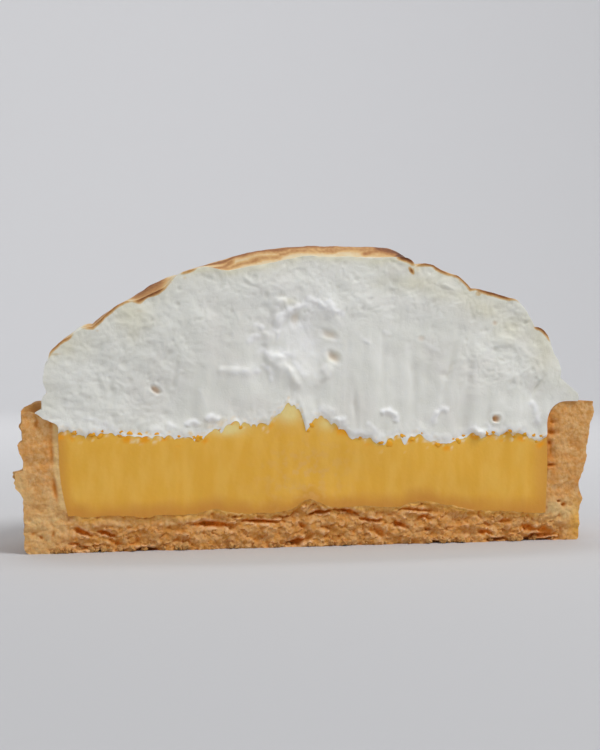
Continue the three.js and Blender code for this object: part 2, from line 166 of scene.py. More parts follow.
# %% Case forms
FOOT_RADIUS, FOOT_LEAN = 39.1, 0.2
FLARE, FLARE_LEAN = 1.4, 0.8
RIM_HEIGHT, RIM_RIPPLE = 20.0, 0.25
INNER_RADIUS, INNER_LEAN, LEAN_TOP = 34.53, 0.58, 15.0
INNER_FILLET, FILLET_LEAN, FILLET_TOP = 1.25, 0.35, 12.0
INNER_CORNER, OUTER_CORNER, FOOT_EDGE = 3.1, 0.6, 0.5
DIP_OUTSIDE, DIP_INSIDE, DIP_REACH, DIP_SOFT = 1.1, 2.0, 2.2, 0.9
FLOOR_LEVEL = 4.7
FLOOR_LUMPS = ((-14, 2.2, 0.8), (-1, 2.6, 1.6), (5, 5.0, 0.8), (15.5, 4.2, 1.2), (34, 9, -0.8))
LUMP_REACH = 5.0


def leaning(angle):
    return -np.cos(angle)


def outer_radius(z, angle):
    up = np.clip(z / RIM_HEIGHT, 0, 1)
    foot = FOOT_RADIUS + FOOT_LEAN * leaning(angle)
    flare = (FLARE - FLARE_LEAN * leaning(angle)) * up * up
    rough = 0.22 * uneven(7 * np.cos(angle), 7 * np.sin(angle), z / 5)
    return foot + flare + rough * ease(z / 3)


def inner_radius(z, angle):
    fillet = (INNER_FILLET + FILLET_LEAN * leaning(angle)) * (1 - ease(z / FILLET_TOP))
    rough = 0.2 * uneven(5 * np.cos(angle) + 20, 5 * np.sin(angle), z / 6)
    return INNER_RADIUS + INNER_LEAN * ease(z / LEAN_TOP) * leaning(angle) - fillet + rough


def left_end(angle, reach, soft):
    """1 at the left end of the cut, 0 further than reach behind it."""
    return ease((reach - np.abs(40 * np.sin(angle))) / soft) * (np.cos(angle) < 0)


def rim_height(angle):
    ripple = RIM_RIPPLE * uneven(4 * np.cos(angle) + 40, 4 * np.sin(angle), 0.5)
    return RIM_HEIGHT + ripple


def rim_dip(radius, angle, ragged=0.0):
    """How far the rim has crumbled away at the left end, more so towards the inside."""
    depth = mix(DIP_OUTSIDE, DIP_INSIDE, ease((39.5 - radius) / 4))
    return depth * left_end(angle, DIP_REACH + ragged, DIP_SOFT)


def lumps(table, x, y):
    return sum(rise * bell(x - place, half) for place, half, rise in table) * bell(y, LUMP_REACH)


def floor_top(x, y):
    rough = 0.25 * uneven(x / 4, y / 4, 3.5) * bell(y, 5)
    crumbly = 0.22 * uneven(x / 1.1, y / 1.1, 4.5) + 0.14 * uneven(x / 0.45, y / 0.6, 5.5)
    return FLOOR_LEVEL + lumps(FLOOR_LUMPS, x, y) + rough + crumbly * bell(y, 2)


print("wall at the left end:", round(float(outer_radius(10, np.pi) - inner_radius(10, np.pi)), 2), "mm")

# %% [markdown]
# ## The curd
# Lemon curd is poured into the case and sets as a smooth gel. The meringue is piped on top before
# it is quite firm, so its surface has soft peaks, and a fringe of small drops and bubbles where
# the foam and the curd pushed into each other.

# %% Curd forms
CURD_LEVEL = 15.1
CURD_LUMPS = (   # across the cut: place, half width, rise
    (-33.5, 3.2, 1.2), (-26.5, 4.5, 0.7), (-16.5, 2.4, -0.6), (-10, 4.2, 2.1), (-4.4, 1.7, 3.3),
    (-2.6, 1.2, 2.2), (0.3, 1.4, 1.7), (2.7, 1.5, 1.6), (9.5, 1.6, -0.6), (18.4, 3.2, -1.1),
)


def curd_top(x, y):
    roll = 0.4 * uneven(x / 6 + 9, y / 6, 5.5) + 0.25 * uneven(x / 2.8, y / 2.8, 7.5)
    return CURD_LEVEL + lumps(CURD_LUMPS, x, y) + roll * bell(y, 7)


def arches(x, size, salt):
    """A row of half circles of uneven size and place, as drops that touch."""
    cell = np.floor(x / size)
    top = np.zeros_like(x)
    for step in (-1, 0, 1):
        middle = (cell + step + 0.2 + 0.6 * dice(cell + step, salt, 1.5)) * size
        radius = size * (0.25 + 0.4 * dice(cell + step, salt, 9.5))
        top = np.maximum(top, np.sqrt(np.maximum(0, radius ** 2 - (x - middle) ** 2)))
    return top


def fringe(x, y):
    """Drops and bubbles along the top of the curd, strongest at the cut."""
    wide = 1.15 * arches(x + 0.4 * uneven(x / 2, y / 2, 71.5), 1.2, 3)
    small = 1.1 * arches(x, 0.75, 5) * ease(uneven(x / 3, 0.5, 73.5) * 2 + 0.8)
    open_part = 0.3 + 0.7 * ease(uneven(x / 5, y / 5, 75.5) * 1.5 + 0.7)
    return ((np.maximum(wide, small) - 0.3) * open_part) * bell(y, 2.5)


CURD_DENTS = (   # small steps in the line that only show close up: place, half width, rise
    (-32.3, 1.4, -0.9), (-4.7, 0.7, -0.4), (-3.8, 1.2, 0.6), (-1.3, 0.6, -0.6), (0.6, 1.1, 0.5),
    (5.1, 0.6, -0.8), (9.2, 0.5, -0.7), (12.7, 0.5, -1.3), (14.9, 0.6, 0.5), (17.0, 0.6, 0.3),
    (32.6, 1.3, -0.7), (-14.4, 0.6, 0.5), (24.0, 0.6, -0.4), (-18.9, 0.5, -0.4),
)


def curd_edge(x, y):
    return curd_top(x, y) + fringe(x, y) + lumps(CURD_DENTS, x, y)


print("curd peak:", round(float(curd_top(-3.7, 0)), 1), "mm above the table")

# %% [markdown]
# ## The piped dome
# The meringue is one fat rope laid in a spiral. Going out from the middle, the outline is a row of
# arches: up from one groove, over the rope and down to the next groove. Half a turn later each
# groove has moved out by half a rope's width, so the grooves only need to be given at the two ends
# of the cut. Everything between is blended with the angle.

# %% Dome outline
CENTRE_HEIGHT = 39.7
GROOVE_RIGHT, GROOVE_LEFT = (14.3, 22.7, 31.7, 35.6), (19.2, 30.7, 36.4, 37.0)
GROOVE_HEIGHT_RIGHT, GROOVE_HEIGHT_LEFT = (39.6, 36.4, 30.4, 23.2), (37.2, 30.2, 25.6, 22.4)
BULGE_RIGHT, BULGE_LEFT = (2.3, 0.85, 1.95, 1.3), (2.3, 0.45, 0.8, 0.3)
BACK_BULGE = (0.0, 1.2, 0.9, 0.9)
BULGE_SKEW = (0.0, 0.0, 0.45, -0.35)
POWER_RIGHT, POWER_LEFT = (11, 4, 1.2, 4), (2.5, 4, 4, 4)
SKIRT_RIGHT, SKIRT_LEFT = 38.5, 37.3
ROPE_UNEVEN = 0.35
EDGE_DROPS = ((-22.5, 3.0, 1.2), (-8.5, 6.0, 2.15), (5.5, 8.6, 2.05), (20, 2.5, 0.5))
DROP_REACH = 3.1


def dome_rings(angle, steps):
    """Rings of [radius, height] for an array of angles, from the middle out and down."""
    t = angle / np.pi
    back = np.sin(np.pi * np.clip(t, 0, 1))
    knots = [(np.zeros_like(t), np.full_like(t, CENTRE_HEIGHT))]
    for k in range(4):
        radius = mix(GROOVE_RIGHT[k], GROOVE_LEFT[k], t)
        height = mix(GROOVE_HEIGHT_RIGHT[k], GROOVE_HEIGHT_LEFT[k], t)
        knots.append((radius, height))
    rings = [(knots[0][0], knots[0][1] + BULGE_RIGHT[0])]
    for k, count in enumerate(steps):
        (r0, z0), (r1, z1) = knots[k], knots[k + 1]
        length = np.hypot(r1 - r0, z1 - z0)
        out_r, out_z = (z0 - z1) / length, (r1 - r0) / length
        bulge = mix(BULGE_RIGHT[k], BULGE_LEFT[k], t) + BACK_BULGE[k] * back
        skew = BULGE_SKEW[k] * (1 - np.clip(t, 0, 1))
        power = mix(POWER_RIGHT[k], POWER_LEFT[k], np.clip(1.6 * t, 0, 1))
        for i in range(1, count + 1):
            s = i / count
            along = s + skew * s * (1 - s)
            off_middle = abs(2 * s - 1) if k else s
            full = (1 - off_middle ** power) * bulge
            rings.append((mix(r0, r1, along) + out_r * full, mix(z0, z1, along) + out_z * full))
    return rings


def skin_drop(x, y):
    dragged = sum(drop * np.exp(-(((x - place) / half) ** 4)) for place, half, drop in EDGE_DROPS)
    return dragged * (1 - ease(np.abs(y) / DROP_REACH))


def dome_point(radius, height, angle):
    x0, y0 = radius * np.cos(angle), radius * np.sin(angle)
    rough = ROPE_UNEVEN * uneven(x0 / 4.5, y0 / 4.5, height / 4.5 + 11)
    grown = radius + rough * ease((radius - 8) / 8) * 0.8
    x, y = grown * np.cos(angle), grown * np.sin(angle)
    return np.stack([x, y, height + rough * 0.7 - skin_drop(x, y)], axis=-1)


print("rings in the outline:", len(dome_rings(np.array([0.0]), (8, 6, 6, 5))))

# %% [markdown]
# ## Meshes from arrays
# Blender takes a mesh as a list of points and a list of faces, so a whole surface can be laid out
# as one array and handed over at once. Two layouts are enough here: rings turned round an axis,
# and a block whose one side follows an uneven sheet.

# %% Mesh builders
def new_object(name, points, faces, shift=(0.0, 0.0, 0.0)):
    mesh = bpy.data.meshes.new(name)
    mesh.from_pydata((points + np.asarray(shift)) * MM, [], faces)
    mesh.update()
    piece = bpy.data.objects.new(name, mesh)
    bpy.context.scene.collection.objects.link(piece)
    return piece


def turned(name, rings, place, angle):
    """Closed surface from rings of (radius, height); the first and last ring are points."""
    body = np.stack([place(r + 0 * angle, z + 0 * angle, angle) for r, z in rings[1:-1]])
    top = place(np.zeros(1), np.full(1, float(np.ravel(rings[0][1])[0])), np.zeros(1))
    low = place(np.zeros(1), np.full(1, float(np.ravel(rings[-1][1])[0])), np.zeros(1))
    rows, n = body.shape[:2]
    points = np.concatenate([body.reshape(-1, 3), top, low])
    here = np.arange(rows * n).reshape(rows, n)
    beside = np.roll(here, -1, axis=1)
    sides = np.stack([here[:-1], here[1:], beside[1:], beside[:-1]], axis=-1).reshape(-1, 4).tolist()
    cap = [[rows * n, a, b] for a, b in zip(here[0], beside[0])]
    sole = [[rows * n + 1, b, a] for a, b in zip(here[-1], beside[-1])]
    return new_object(name, points, sides + cap + sole)


def block(name, us, vs, level, flat, place):
    """Closed block over a grid: one side is level(u, v), the other is flat."""
    u, v = np.meshgrid(us, vs, indexing="ij")
    near = place(u, v, level(u, v)).reshape(-1, 3)
    far = place(u, v, np.full(u.shape, float(flat))).reshape(-1, 3)
    nu, nv = u.shape
    a = np.arange(nu * nv).reshape(nu, nv)
    b = a + nu * nv
    sheet = np.stack([a[:-1, :-1], a[1:, :-1], a[1:, 1:], a[:-1, 1:]], -1).reshape(-1, 4)
    back = np.stack([b[:-1, :-1], b[:-1, 1:], b[1:, 1:], b[1:, :-1]], -1).reshape(-1, 4)
    edges = []
    for side_of in (lambda g: g[:, 0], lambda g: g[-1, :], lambda g: g[::-1, -1], lambda g: g[0, ::-1]):
        line_a, line_b = side_of(a), side_of(b)
        edges.append(np.stack([line_a[1:], line_a[:-1], line_b[:-1], line_b[1:]], -1))
    faces = np.concatenate([sheet, back] + edges).tolist()
    return new_object(name, np.concatenate([near, far]), faces)


def close_angles(coarse, fine):
    """Angles for a full turn: fine near both ends of the cut, sparse where all is cut away."""
    near = np.arange(-4.0, 6.0, fine)
    behind = np.arange(6.0, 174.0, coarse)
    away = np.arange(185.0, 355.5, 5.0)
    return np.radians(np.concatenate([near, behind, 180 - near[::-1], away]))


def in_place(radius, height, angle):
    return np.stack([radius * np.cos(angle), radius * np.sin(angle), height], axis=-1)


print("angles in one turn:", len(close_angles(0.8, 0.16)))

# %% [markdown]
# ## Cutting with solids
# A knife cut is a Boolean: the whole layer minus a block whose face carries the torn surface. Every
# operand here is a closed mesh, so Blender's Manifold solver does each one in well under a second,
# and the edge between skin and cut comes out as crisp as on the plate. The faces that a cutter
# leaves must point the right way, so normals are made consistent before the cut.

# %% Cutting tools
import bmesh


def outward(piece):
    work = bmesh.new()
    work.from_mesh(piece.data)
    bmesh.ops.recalc_face_normals(work, faces=work.faces)
    work.to_mesh(piece.data)
    work.free()
    return piece


def carve(piece, steps):
    """Apply ('DIFFERENCE' or 'INTERSECT', cutter) steps in order and drop the cutters."""
    outward(piece)
    for operation, cutter in steps:
        outward(cutter)
        tool = piece.modifiers.new(operation.lower(), "BOOLEAN")
        tool.operation = operation
        tool.solver = "MANIFOLD"
        tool.object = cutter
    graph = bpy.context.evaluated_depsgraph_get()
    made = bpy.data.meshes.new_from_object(piece.evaluated_get(graph))
    piece.modifiers.clear()
    if made.validate():
        print("mended some faces of", piece.name)
    piece.data = made
    for _, cutter in steps:
        bpy.data.objects.remove(cutter)
    print(piece.name, "has", len(made.vertices), "points and", len(made.polygons), "faces")
    return piece


# %% [markdown]
# ## The space inside the case
# Curd and meringue both take their outer shape from the inside of the case: up the wall, round the
# inner corner of the rim and out over it. So that space is built once as a solid and used three
# times: taken away from the pastry, and kept for the curd and for the meringue.

# %% Inside of the case
FAR_OUT, OVER_ALL, UNDER_ALL = 62.0, 70.0, -8.0
SLOPE_REACH, SLOPE_SOFT = 13, 5               # how far behind the dip the rim slopes outwards
SLOPE_START, SLOPE_WIDTH, SLOPE_FALL = 37.8, 2.8, 0.8
CASE_ANGLES = close_angles(0.8, 0.25)


def broken_rim(radius, angle):
    """The dip at the left end of the rim with crumbs in it, as a change of height."""
    x, y = radius * np.cos(angle), radius * np.sin(angle)
    rough = 0.35 * uneven(x / 0.9, y / 0.9, 35.5) + 0.25 * uneven(x / 0.45, y / 0.45, 36.5)
    ragged = 0.7 * uneven(radius / 0.7, 0.5, 38.5) + 0.5 * uneven(x / 0.5, y / 0.5, 39.5)
    behind = left_end(angle, SLOPE_REACH, SLOPE_SOFT) - left_end(angle, DIP_REACH, DIP_SOFT)
    slope = SLOPE_FALL * ease((radius - SLOPE_START) / SLOPE_WIDTH) * behind
    return rough * left_end(angle, 4.5, 1.5) - rim_dip(radius, angle, ragged) - slope


def case_space(name):
    angle = CASE_ANGLES
    rim = rim_height(angle)
    rings = [(0.0, OVER_ALL), (FAR_OUT, OVER_ALL), (FAR_OUT, rim - OUTER_CORNER / 2)]
    outside = outer_radius(rim, angle) - OUTER_CORNER
    for bend in np.linspace(np.pi / 3, 0, 5):
        radius = outside + OUTER_CORNER * np.sin(bend)
        rings.append((radius, rim + OUTER_CORNER * (np.cos(bend) - 1) + broken_rim(radius, angle)))
    inside = inner_radius(rim, angle) + INNER_CORNER
    for share in (0.33, 0.67):
        radius = mix(outside, inside, share)
        rings.append((radius, rim + broken_rim(radius, angle)))
    for bend in np.linspace(np.pi / 2, 0, 9):
        radius = inside - INNER_CORNER * np.cos(bend)
        broken = broken_rim(radius, angle) * np.sin(bend)
        rings.append((radius, rim + INNER_CORNER * (np.sin(bend) - 1) + broken))
    for z in np.arange(17.0, -0.1, -0.5):
        rings.append((inner_radius(z, angle), z))
    rings += [(inner_radius(0, angle), -3.0), (0.0, -3.0)]
    return turned(name, rings, in_place, angle)


def deepening(first, reach):
    """Steps that start fine at the cut and widen towards the back."""
    steps = [0.0]
    while steps[-1] < reach:
        steps.append(steps[-1] + first)
        first *= 1.35
    return np.array(steps)


BACKWARD = np.concatenate([[-6.0, -3.0, -1.5, -0.7], deepening(0.35, 46)])
ACROSS = np.arange(-46, 46.01, 0.15)


def sheet_block(name, level, flat):
    return block(name, ACROSS, BACKWARD, level, flat, lambda x, y, h: np.stack([x, y, h], -1))


def cut_block(name, face, xs, zs):
    return block(name, xs, zs, face, -60.0, lambda x, z, h: np.stack([x, h, z], -1))


print("rows from the cut to the back:", len(BACKWARD))

# %% [markdown]
# ## How the pastry breaks
# Shortcrust is short: it breaks in flat flakes along the floor and in fine sand up the wall. The
# long cracks and hollows are what the eye finds first, so each is placed as a stretched soft
# ellipse whose outline is bent by the uneven field. Between them the floor is a layer of
# crumbs at three sizes. The wall, pressed thin against the ring, only gets fine sand and some pits.
# Depth is measured backwards from the knife's plane.

# %% Pastry cut face
CRACKS = (   # across, up, half length, half height, depth, fall towards the right
    (-31.9, 2.7, 1.5, 0.26, 1.7, 0.25), (-28.6, 2.5, 1.1, 0.26, 1.8, 0.35), (-27.6, 1.4, 1.0, 0.4, 1.2, 0.4),
    (-33.0, 1.2, 1.4, 0.18, 1.1, 0.15), (-31.6, 0.6, 0.7, 0.35, 1.9, 0.0), (-29.5, 0.1, 0.8, 0.35, 2.6, 0.0),
    (-26.5, 0.1, 0.6, 0.2, 1.3, 0.0), (-23.0, 0.0, 1.5, 0.33, 2.2, 0.0), (-38.0, 0.1, 1.2, 0.18, 1.0, 0.0),
    (-19.1, 0.0, 0.6, 0.22, 1.6, 0.0), (-19.5, 3.9, 2.2, 0.2, 1.1, 0.1), (-14.3, 3.4, 2.8, 0.36, 1.9, 0.12),
    (-7.7, 3.6, 2.9, 0.2, 1.6, 0.03), (-11.0, 4.3, 0.6, 0.2, 0.9, 0.0), (0.8, 4.7, 1.7, 0.24, 1.9, -0.2),
    (4.3, 4.7, 1.9, 0.3, 2.0, 0.2), (-1.8, 3.0, 0.8, 0.26, 1.3, 0.0), (-3.1, 0.7, 1.6, 0.36, 1.9, -0.25),
    (7.9, 3.5, 1.8, 0.2, 1.7, 0.15), (12.1, 2.8, 1.1, 0.4, 1.9, 0.3), (9.1, 1.7, 1.5, 0.55, 1.2, 0.35),
    (14.5, 4.7, 2.6, 0.18, 1.1, 0.1), (15.6, 3.7, 0.9, 0.36, 1.8, 0.0), (16.1, 1.9, 0.9, 0.2, 1.2, 0.0),
    (18.6, 0.0, 1.7, 0.26, 2.0, 0.0), (27.5, 2.9, 0.95, 0.42, 1.2, 0.0), (24.8, 1.4, 1.1, 0.3, 1.4, 0.3),
    (26.5, 0.3, 1.7, 0.24, 1.9, 0.0), (31.4, 1.9, 1.5, 0.4, 1.8, 0.1), (33.9, 1.5, 1.1, 0.5, 1.6, 0.2),
    (32.8, 0.8, 2.2, 0.4, 2.3, -0.1), (31.2, 0.1, 3.2, 0.35, 2.6, 0.0), (34.6, 0.2, 1.0, 0.25, 1.6, 0.0),
)
WALL_PITS = (   # across, up, half width, half height, depth
    (34.9, 17.0, 0.55, 0.35, 0.5), (34.8, 15.5, 0.7, 0.4, 0.7), (34.5, 14.0, 0.4, 0.35, 0.5),
    (34.7, 12.6, 0.4, 0.6, 0.35), (34.6, 10.8, 0.6, 0.16, 0.7), (36.5, 5.1, 0.4, 0.3, 0.6),
    (35.8, 5.6, 0.25, 0.15, 0.5), (33.7, 4.9, 0.3, 0.5, 0.4), (-37.3, 2.2, 0.35, 0.25, 0.4),
    (-38.3, 2.7, 0.35, 0.3, 0.35), (-35.6, 2.6, 0.3, 0.5, 0.4), (-37.9, 17.2, 0.25, 0.7, 0.35),
)


print(len(CRACKS), "cracks and", len(WALL_PITS), "pits are placed by hand")

# %% [markdown]
# ## Floor and wall break differently
# The relief is a sum of parts, each switched on by a share between 0 and 1: layers and seams that
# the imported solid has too, then cracks and crumbs for the torn floor, sand and pits for the wall.
# Shares that fade over a fraction of a millimetre keep one kind of break from ending in a line.

# %% Pastry break
def crust_plan(x, z):
    """The coarse relief that the solid has too."""
    layer = uneven(x / 3.4, z / 1.5, 21.3)
    grain = uneven(x / 1.7, z / 1.3, 25.1)
    seam = 0.7 * bell(z - floor_top(x, 0) + 1.4, 0.5) * ease(uneven(x / 7, 0, 31) * 2)
    return 0.15 + 0.35 * grain + np.maximum(0, layer - 0.15) * 1.5 + seam


def torn_share(x, z):
    """1 in the torn floor, 0 in the compact wall, the left corner and the floor's smooth top."""
    smooth_top = 0.05 + 0.3 * uneven(x / 1.5, 0.5, 27.5) + 1.2 * ease((-12 - x) / 8)
    below = ease((floor_top(x, 0) - smooth_top - z) / 0.4)
    return below * ease((x + 34.5) / 2.0) * ease((36.8 - x) / 1.0)


def cracks(x, z):
    bent_x = x + 0.55 * uneven(x / 1.1, z / 1.1, 61.5) + 0.2 * uneven(x / 0.4, z / 0.4, 62.5)
    bent_z = z + 0.3 * uneven(x / 1.2, z / 1.2, 63.5) + 0.13 * uneven(x / 0.4, z / 0.4, 64.5)
    total = np.zeros_like(x)
    for across, up, half_length, half_height, depth, fall in CRACKS:
        along = (bent_x - across) / half_length
        over = (bent_z - up + fall * (bent_x - across)) / half_height
        total = np.maximum(total, depth * np.exp(-((along * along + over * over) ** 1.3)))
    return total


def wall_pits(x, z):
    bent_x = x + 0.2 * uneven(x / 0.5, z / 0.5, 66.5)
    total = np.zeros_like(x)
    for across, up, half_width, half_height, depth in WALL_PITS:
        total += depth * spot(bent_x, z, across, up, half_width, half_height)
    return total


print("deepest crack:", max(crack[4] for crack in CRACKS), "mm")

# %% [markdown]
# ## Where pastry meets curd
# The pastry's relief has to lead into the curd's at the wall, or a dark gap would open between the
# two cut faces. So the curd's own relief is written here too, and the two are blended over the
# last half millimetre.

# %% Crust relief
def side(x):
    return np.where(x < 0, np.pi, 0.0)


def into_wall(x, z):
    """Distance outwards from the inside of the case, negative over the curd."""
    return np.abs(x) - inner_radius(z, side(x))


def wall_groove(x, z):
    """A fine broken groove up the left wall, under the pale lip that touches the curd."""
    from_curd = into_wall(x, z)
    broken = ease(uneven(0.5, z / 2.2, 68.5) * 1.5 + 0.85) * ease((z - 6) / 2) * (x < 0)
    return 0.22 * bell(from_curd - 0.95, 0.25) * broken


def curd_relief(x, z):
    """How far back the curd's own cut face lies: clean, with faint upright streaks."""
    streak = 0.05 * uneven(x / 1.4, z / 14, 41.5) + 0.015 * uneven(x / 0.45, z / 9, 42.5)
    soft = 0.22 * uneven(x / 7, z / 5, 43.5)
    lumpy = 0.12 * uneven(x / 1.6, z / 1.4, 45.5) * bell(x + 1.5, 5) * bell(z - 8, 3.2)
    return 0.1 + streak + soft + lumpy


def crust_relief(x, z):
    torn = torn_share(x, z)
    bent_x = x + 0.3 * uneven(x / 0.8, z / 0.8, 5.5)
    bent_z = z + 0.25 * uneven(x / 0.9, z / 0.9, 6.5)
    crumb = 0.34 * crumb_layer(bent_x, bent_z * 1.1, 1.35, 3)
    crumb = crumb + 0.24 * chips(bent_x, bent_z * 1.2, 1.1, 43)
    crumb += 0.26 * crumb_layer(bent_x, bent_z, 0.68, 5) + 0.12 * chips(bent_x, bent_z, 0.5, 47)
    crumb += 0.12 * crumb_layer(bent_x, bent_z, 0.36, 7)
    crumb += 0.35 * uneven(x / 0.9, z / 0.7, 8.5) * ease(uneven(x / 3, z / 2, 9.5) + 0.5)
    sand = 0.13 * crumb_layer(bent_x, bent_z, 0.5, 11) + 0.12 * uneven(x / 0.9, z / 1.4, 13.5)
    sand += 0.22 * crumb_layer(bent_x, bent_z, 0.9, 15) * ease((floor_top(x, 0) + 0.8 - z) / 0.8)
    sand += 0.08 * uneven(x / 0.4, z / 0.5, 14.5)
    wall = sand + wall_pits(x, z) + wall_groove(x, z)
    plan = crust_plan(x, z)
    face = mix(0.05 + 0.25 * plan + wall, 0.45 * plan - 0.15 + crumb + 0.5 * cracks(x, z), torn)
    beside_curd = ease((0.45 + into_wall(x, z)) / 0.9)
    return np.where(z > floor_top(x, 0), mix(curd_relief(x, z), face, beside_curd), face)


def print_range(name, relief, xs, zs):
    found = relief(*np.meshgrid(xs, zs))
    print(name, "relief from", found.min().round(2), "to", found.max().round(2), "mm")


print_range("crust", crust_relief, np.arange(-34, 34, 0.2), np.arange(0, 5, 0.2))

# %% [markdown]
# ## The outside of the pastry
# Where the knife came out, the outside edge of the left wall was pulled into thin flakes that stand
# off the wall, and the right wall has a dent. Both sit within a few millimetres of the cut, where
# the angles of a turned piece lie closest together.

# %% Crust mesh
FLAKES = (   # height of the foot, height of the top, reach
    (7.4, 11.0, 1.1), (12.1, 14.8, 0.6), (16.0, 17.2, 0.25), (2.0, 3.4, 0.2),
)
DENTS = (   # height, half height, how far out
    (8.2, 1.5, -0.5), (5.8, 0.8, 0.2), (17.6, 1.5, 0.15), (20.3, 1.3, -0.45),
)


def shingle(z, foot, top, reach):
    """A flake that leaves the wall from its foot, stands off it and ends abruptly at its top."""
    return reach * ease(1.5 * (z - foot) / (top - foot)) * ease((top + 0.2 - z) / 0.4)


def broken_edge(z, angle):
    y = 40 * np.sin(angle)
    ragged = 0.95 + 0.3 * uneven(y / 0.6, z / 0.8, 15.5) + 0.2 * uneven(y / 0.3, z / 0.35, 16.5)
    bent = z + 0.35 * uneven(y / 0.8, z / 1.5, 17.5)
    left = sum(shingle(bent, foot, top, reach) for foot, top, reach in FLAKES) * ragged
    left = left * ease((2.3 - np.abs(y)) / 0.9)
    right = sum(out * bell(z - up, half) for up, half, out in DENTS) * ease((5 - np.abs(y)) / 4)
    return np.where(np.cos(angle) < 0, left, right)


def baked_skin(z, angle):
    """Fine unevenness of the outside where the dough sat against the ring."""
    x, y = 40 * np.cos(angle), 40 * np.sin(angle)
    return 0.16 * uneven(x / 1.6, y / 1.6, z / 1.2) + 0.09 * uneven(x / 0.6, y / 0.6, z / 0.45)


BLANK_TOP = 26.0      # the uncut pastry stands this high, so that the rim is all cutting


def pastry_body(name):
    angle = close_angles(0.8, 0.16)
    rings = [(0.0, BLANK_TOP), (outer_radius(RIM_HEIGHT, angle), BLANK_TOP)]
    for z in np.concatenate([np.arange(20.4, 0.7, -0.19), [0.6]]):
        out = outer_radius(z, angle) + broken_edge(z, angle) + baked_skin(z, angle)
        rings.append((out, z))
    rings.append((outer_radius(0, angle) - FOOT_EDGE * 0.15, FOOT_EDGE * 0.5))
    rings.append((outer_radius(0, angle) - FOOT_EDGE * 0.6, FOOT_EDGE * 0.15))
    rings.append((outer_radius(0, angle) - FOOT_EDGE, 0.0))
    for share in (0.97, 0.9, 0.8, 0.5):
        rings.append((share * FOOT_RADIUS, 0.0))
    rings.append((0.0, 0.0))
    return turned(name, rings, in_place, angle)


crust_rows = np.concatenate([np.arange(-1, 6.8, 0.12), np.arange(6.9, 21.6, 0.17), [28.0]])
opening = carve(case_space("opening"), [("INTERSECT", sheet_block("floor", floor_top, OVER_ALL))])
crust = carve(pastry_body("crust_piece"), [
    ("DIFFERENCE", opening),
    ("DIFFERENCE", cut_block("crust_cut", crust_relief, np.arange(-44, 44.01, 0.13), crust_rows)),
])

# %% [markdown]
# ## How the curd cuts
# Curd cuts clean. Its face only shows a shallow dish where it clung to the blade and faint upright
# streaks from the knife, so its relief is a few tenths of a millimetre and its grid can be coarser
# than the pastry's.

# %% Curd mesh
curd = carve(case_space("curd_piece"), [
    ("INTERSECT", sheet_block("floor", floor_top, OVER_ALL)),
    ("INTERSECT", sheet_block("surface", curd_edge, UNDER_ALL)),
    ("DIFFERENCE", cut_block("curd_cut", curd_relief, np.arange(-44, 44.01, 0.3), np.arange(0, 24, 0.3))),
])

# %% [markdown]
# ## How the foam tears
# Meringue is a stiff foam. Near the skin, where it has dried, the knife tears it into fine crinkles.
# Lower down it is still wet and smears into upright streaks. In the middle a lump was pulled out
# and left a ragged hollow with a raised lip. A few air bubbles were cut open, and just above the
# curd the foam curls over in small loops. What the eye finds first is listed in these tables.

# %% Foam cut face
TORN_MIDDLE = (-1.2, 29.2, 4.8, 5.8)
TORN_DEPTH, TORN_LIP = 0.5, 0.45
BUBBLES = (   # across, up, half length, half width, tilt in degrees, depth, how brown inside
    (-22.1, 21.7, 0.72, 0.42, -35, 0.5, 0.5), (26.1, 17.5, 0.55, 0.45, 0, 0.7, 1.0),
    (-2.9, 31.4, 0.55, 1.0, 0, 0.2, 0.12), (26.1, 31.1, 0.4, 0.35, 0, 0.1, 0.3),
    (15.2, 28.8, 0.5, 0.4, 0, 0.08, 0.14), (1.9, 29.3, 1.1, 0.55, -20, 0.2, 0.15),
    (2.5, 26.2, 1.0, 0.6, -38, 0.3, 0.25),
)
STROKES = (   # from (across, up) to (across, up), half width, height: tufts pulled up by the knife
    (-5.6, 30.4, -4.6, 32.2, 0.45, 0.5), (-8.4, 30.5, -7.5, 30.2, 0.4, 0.5),
    (-9.3, 28.6, -8.1, 28.8, 0.4, 0.5), (-7.9, 26.9, -6.4, 26.5, 0.45, 0.5),
    (-13.4, 24.5, -11.4, 24.4, 0.3, 0.25), (-11.2, 24.4, -8.6, 24.0, 0.5, 0.55),
    (-7.2, 25.0, -6.2, 23.2, 0.4, 0.5), (-4.6, 27.2, -3.4, 26.6, 0.45, 0.4),
    (-3.0, 25.2, -1.6, 23.8, 0.45, 0.45), (1.0, 24.6, 1.5, 23.6, 0.4, 0.3),
    (0.6, 19.2, 2.4, 18.9, 0.3, 0.35), (7.1, 16.9, 9.4, 15.3, 0.3, 0.45),
    (31.8, 19.7, 32.3, 17.4, 0.65, 0.75), (24.7, 16.9, 25.6, 15.8, 0.3, 0.4),
    (-31.5, 17.9, -28.4, 17.2, 0.35, 0.4), (-20.5, 17.0, -19.4, 16.8, 0.35, 0.4),
    (9.6, 29.8, 10.6, 29.4, 0.25, 0.35), (6.3, 28.9, 7.4, 28.2, 0.3, 0.35),
    (16.0, 28.0, 18.5, 27.0, 0.45, 0.25), (-16.0, 21.5, -15.6, 19.5, 0.3, 0.2),
)
CURLS = (   # middle across, middle up, radius, from and to angle in degrees, height
    (10.2, 17.5, 1.25, -10, 130, 0.3), (18.6, 17.2, 1.6, 80, 190, 0.26),
    (-14.4, 17.0, 1.0, 40, 140, 0.22), (-17.2, 16.5, 0.8, 30, 150, 0.2),
    (23.6, 16.6, 1.1, 200, 300, 0.2), (3.4, 16.6, 1.0, 60, 180, 0.2), (-0.5, 28.7, 5.1, 45, 170, 0.24),
)
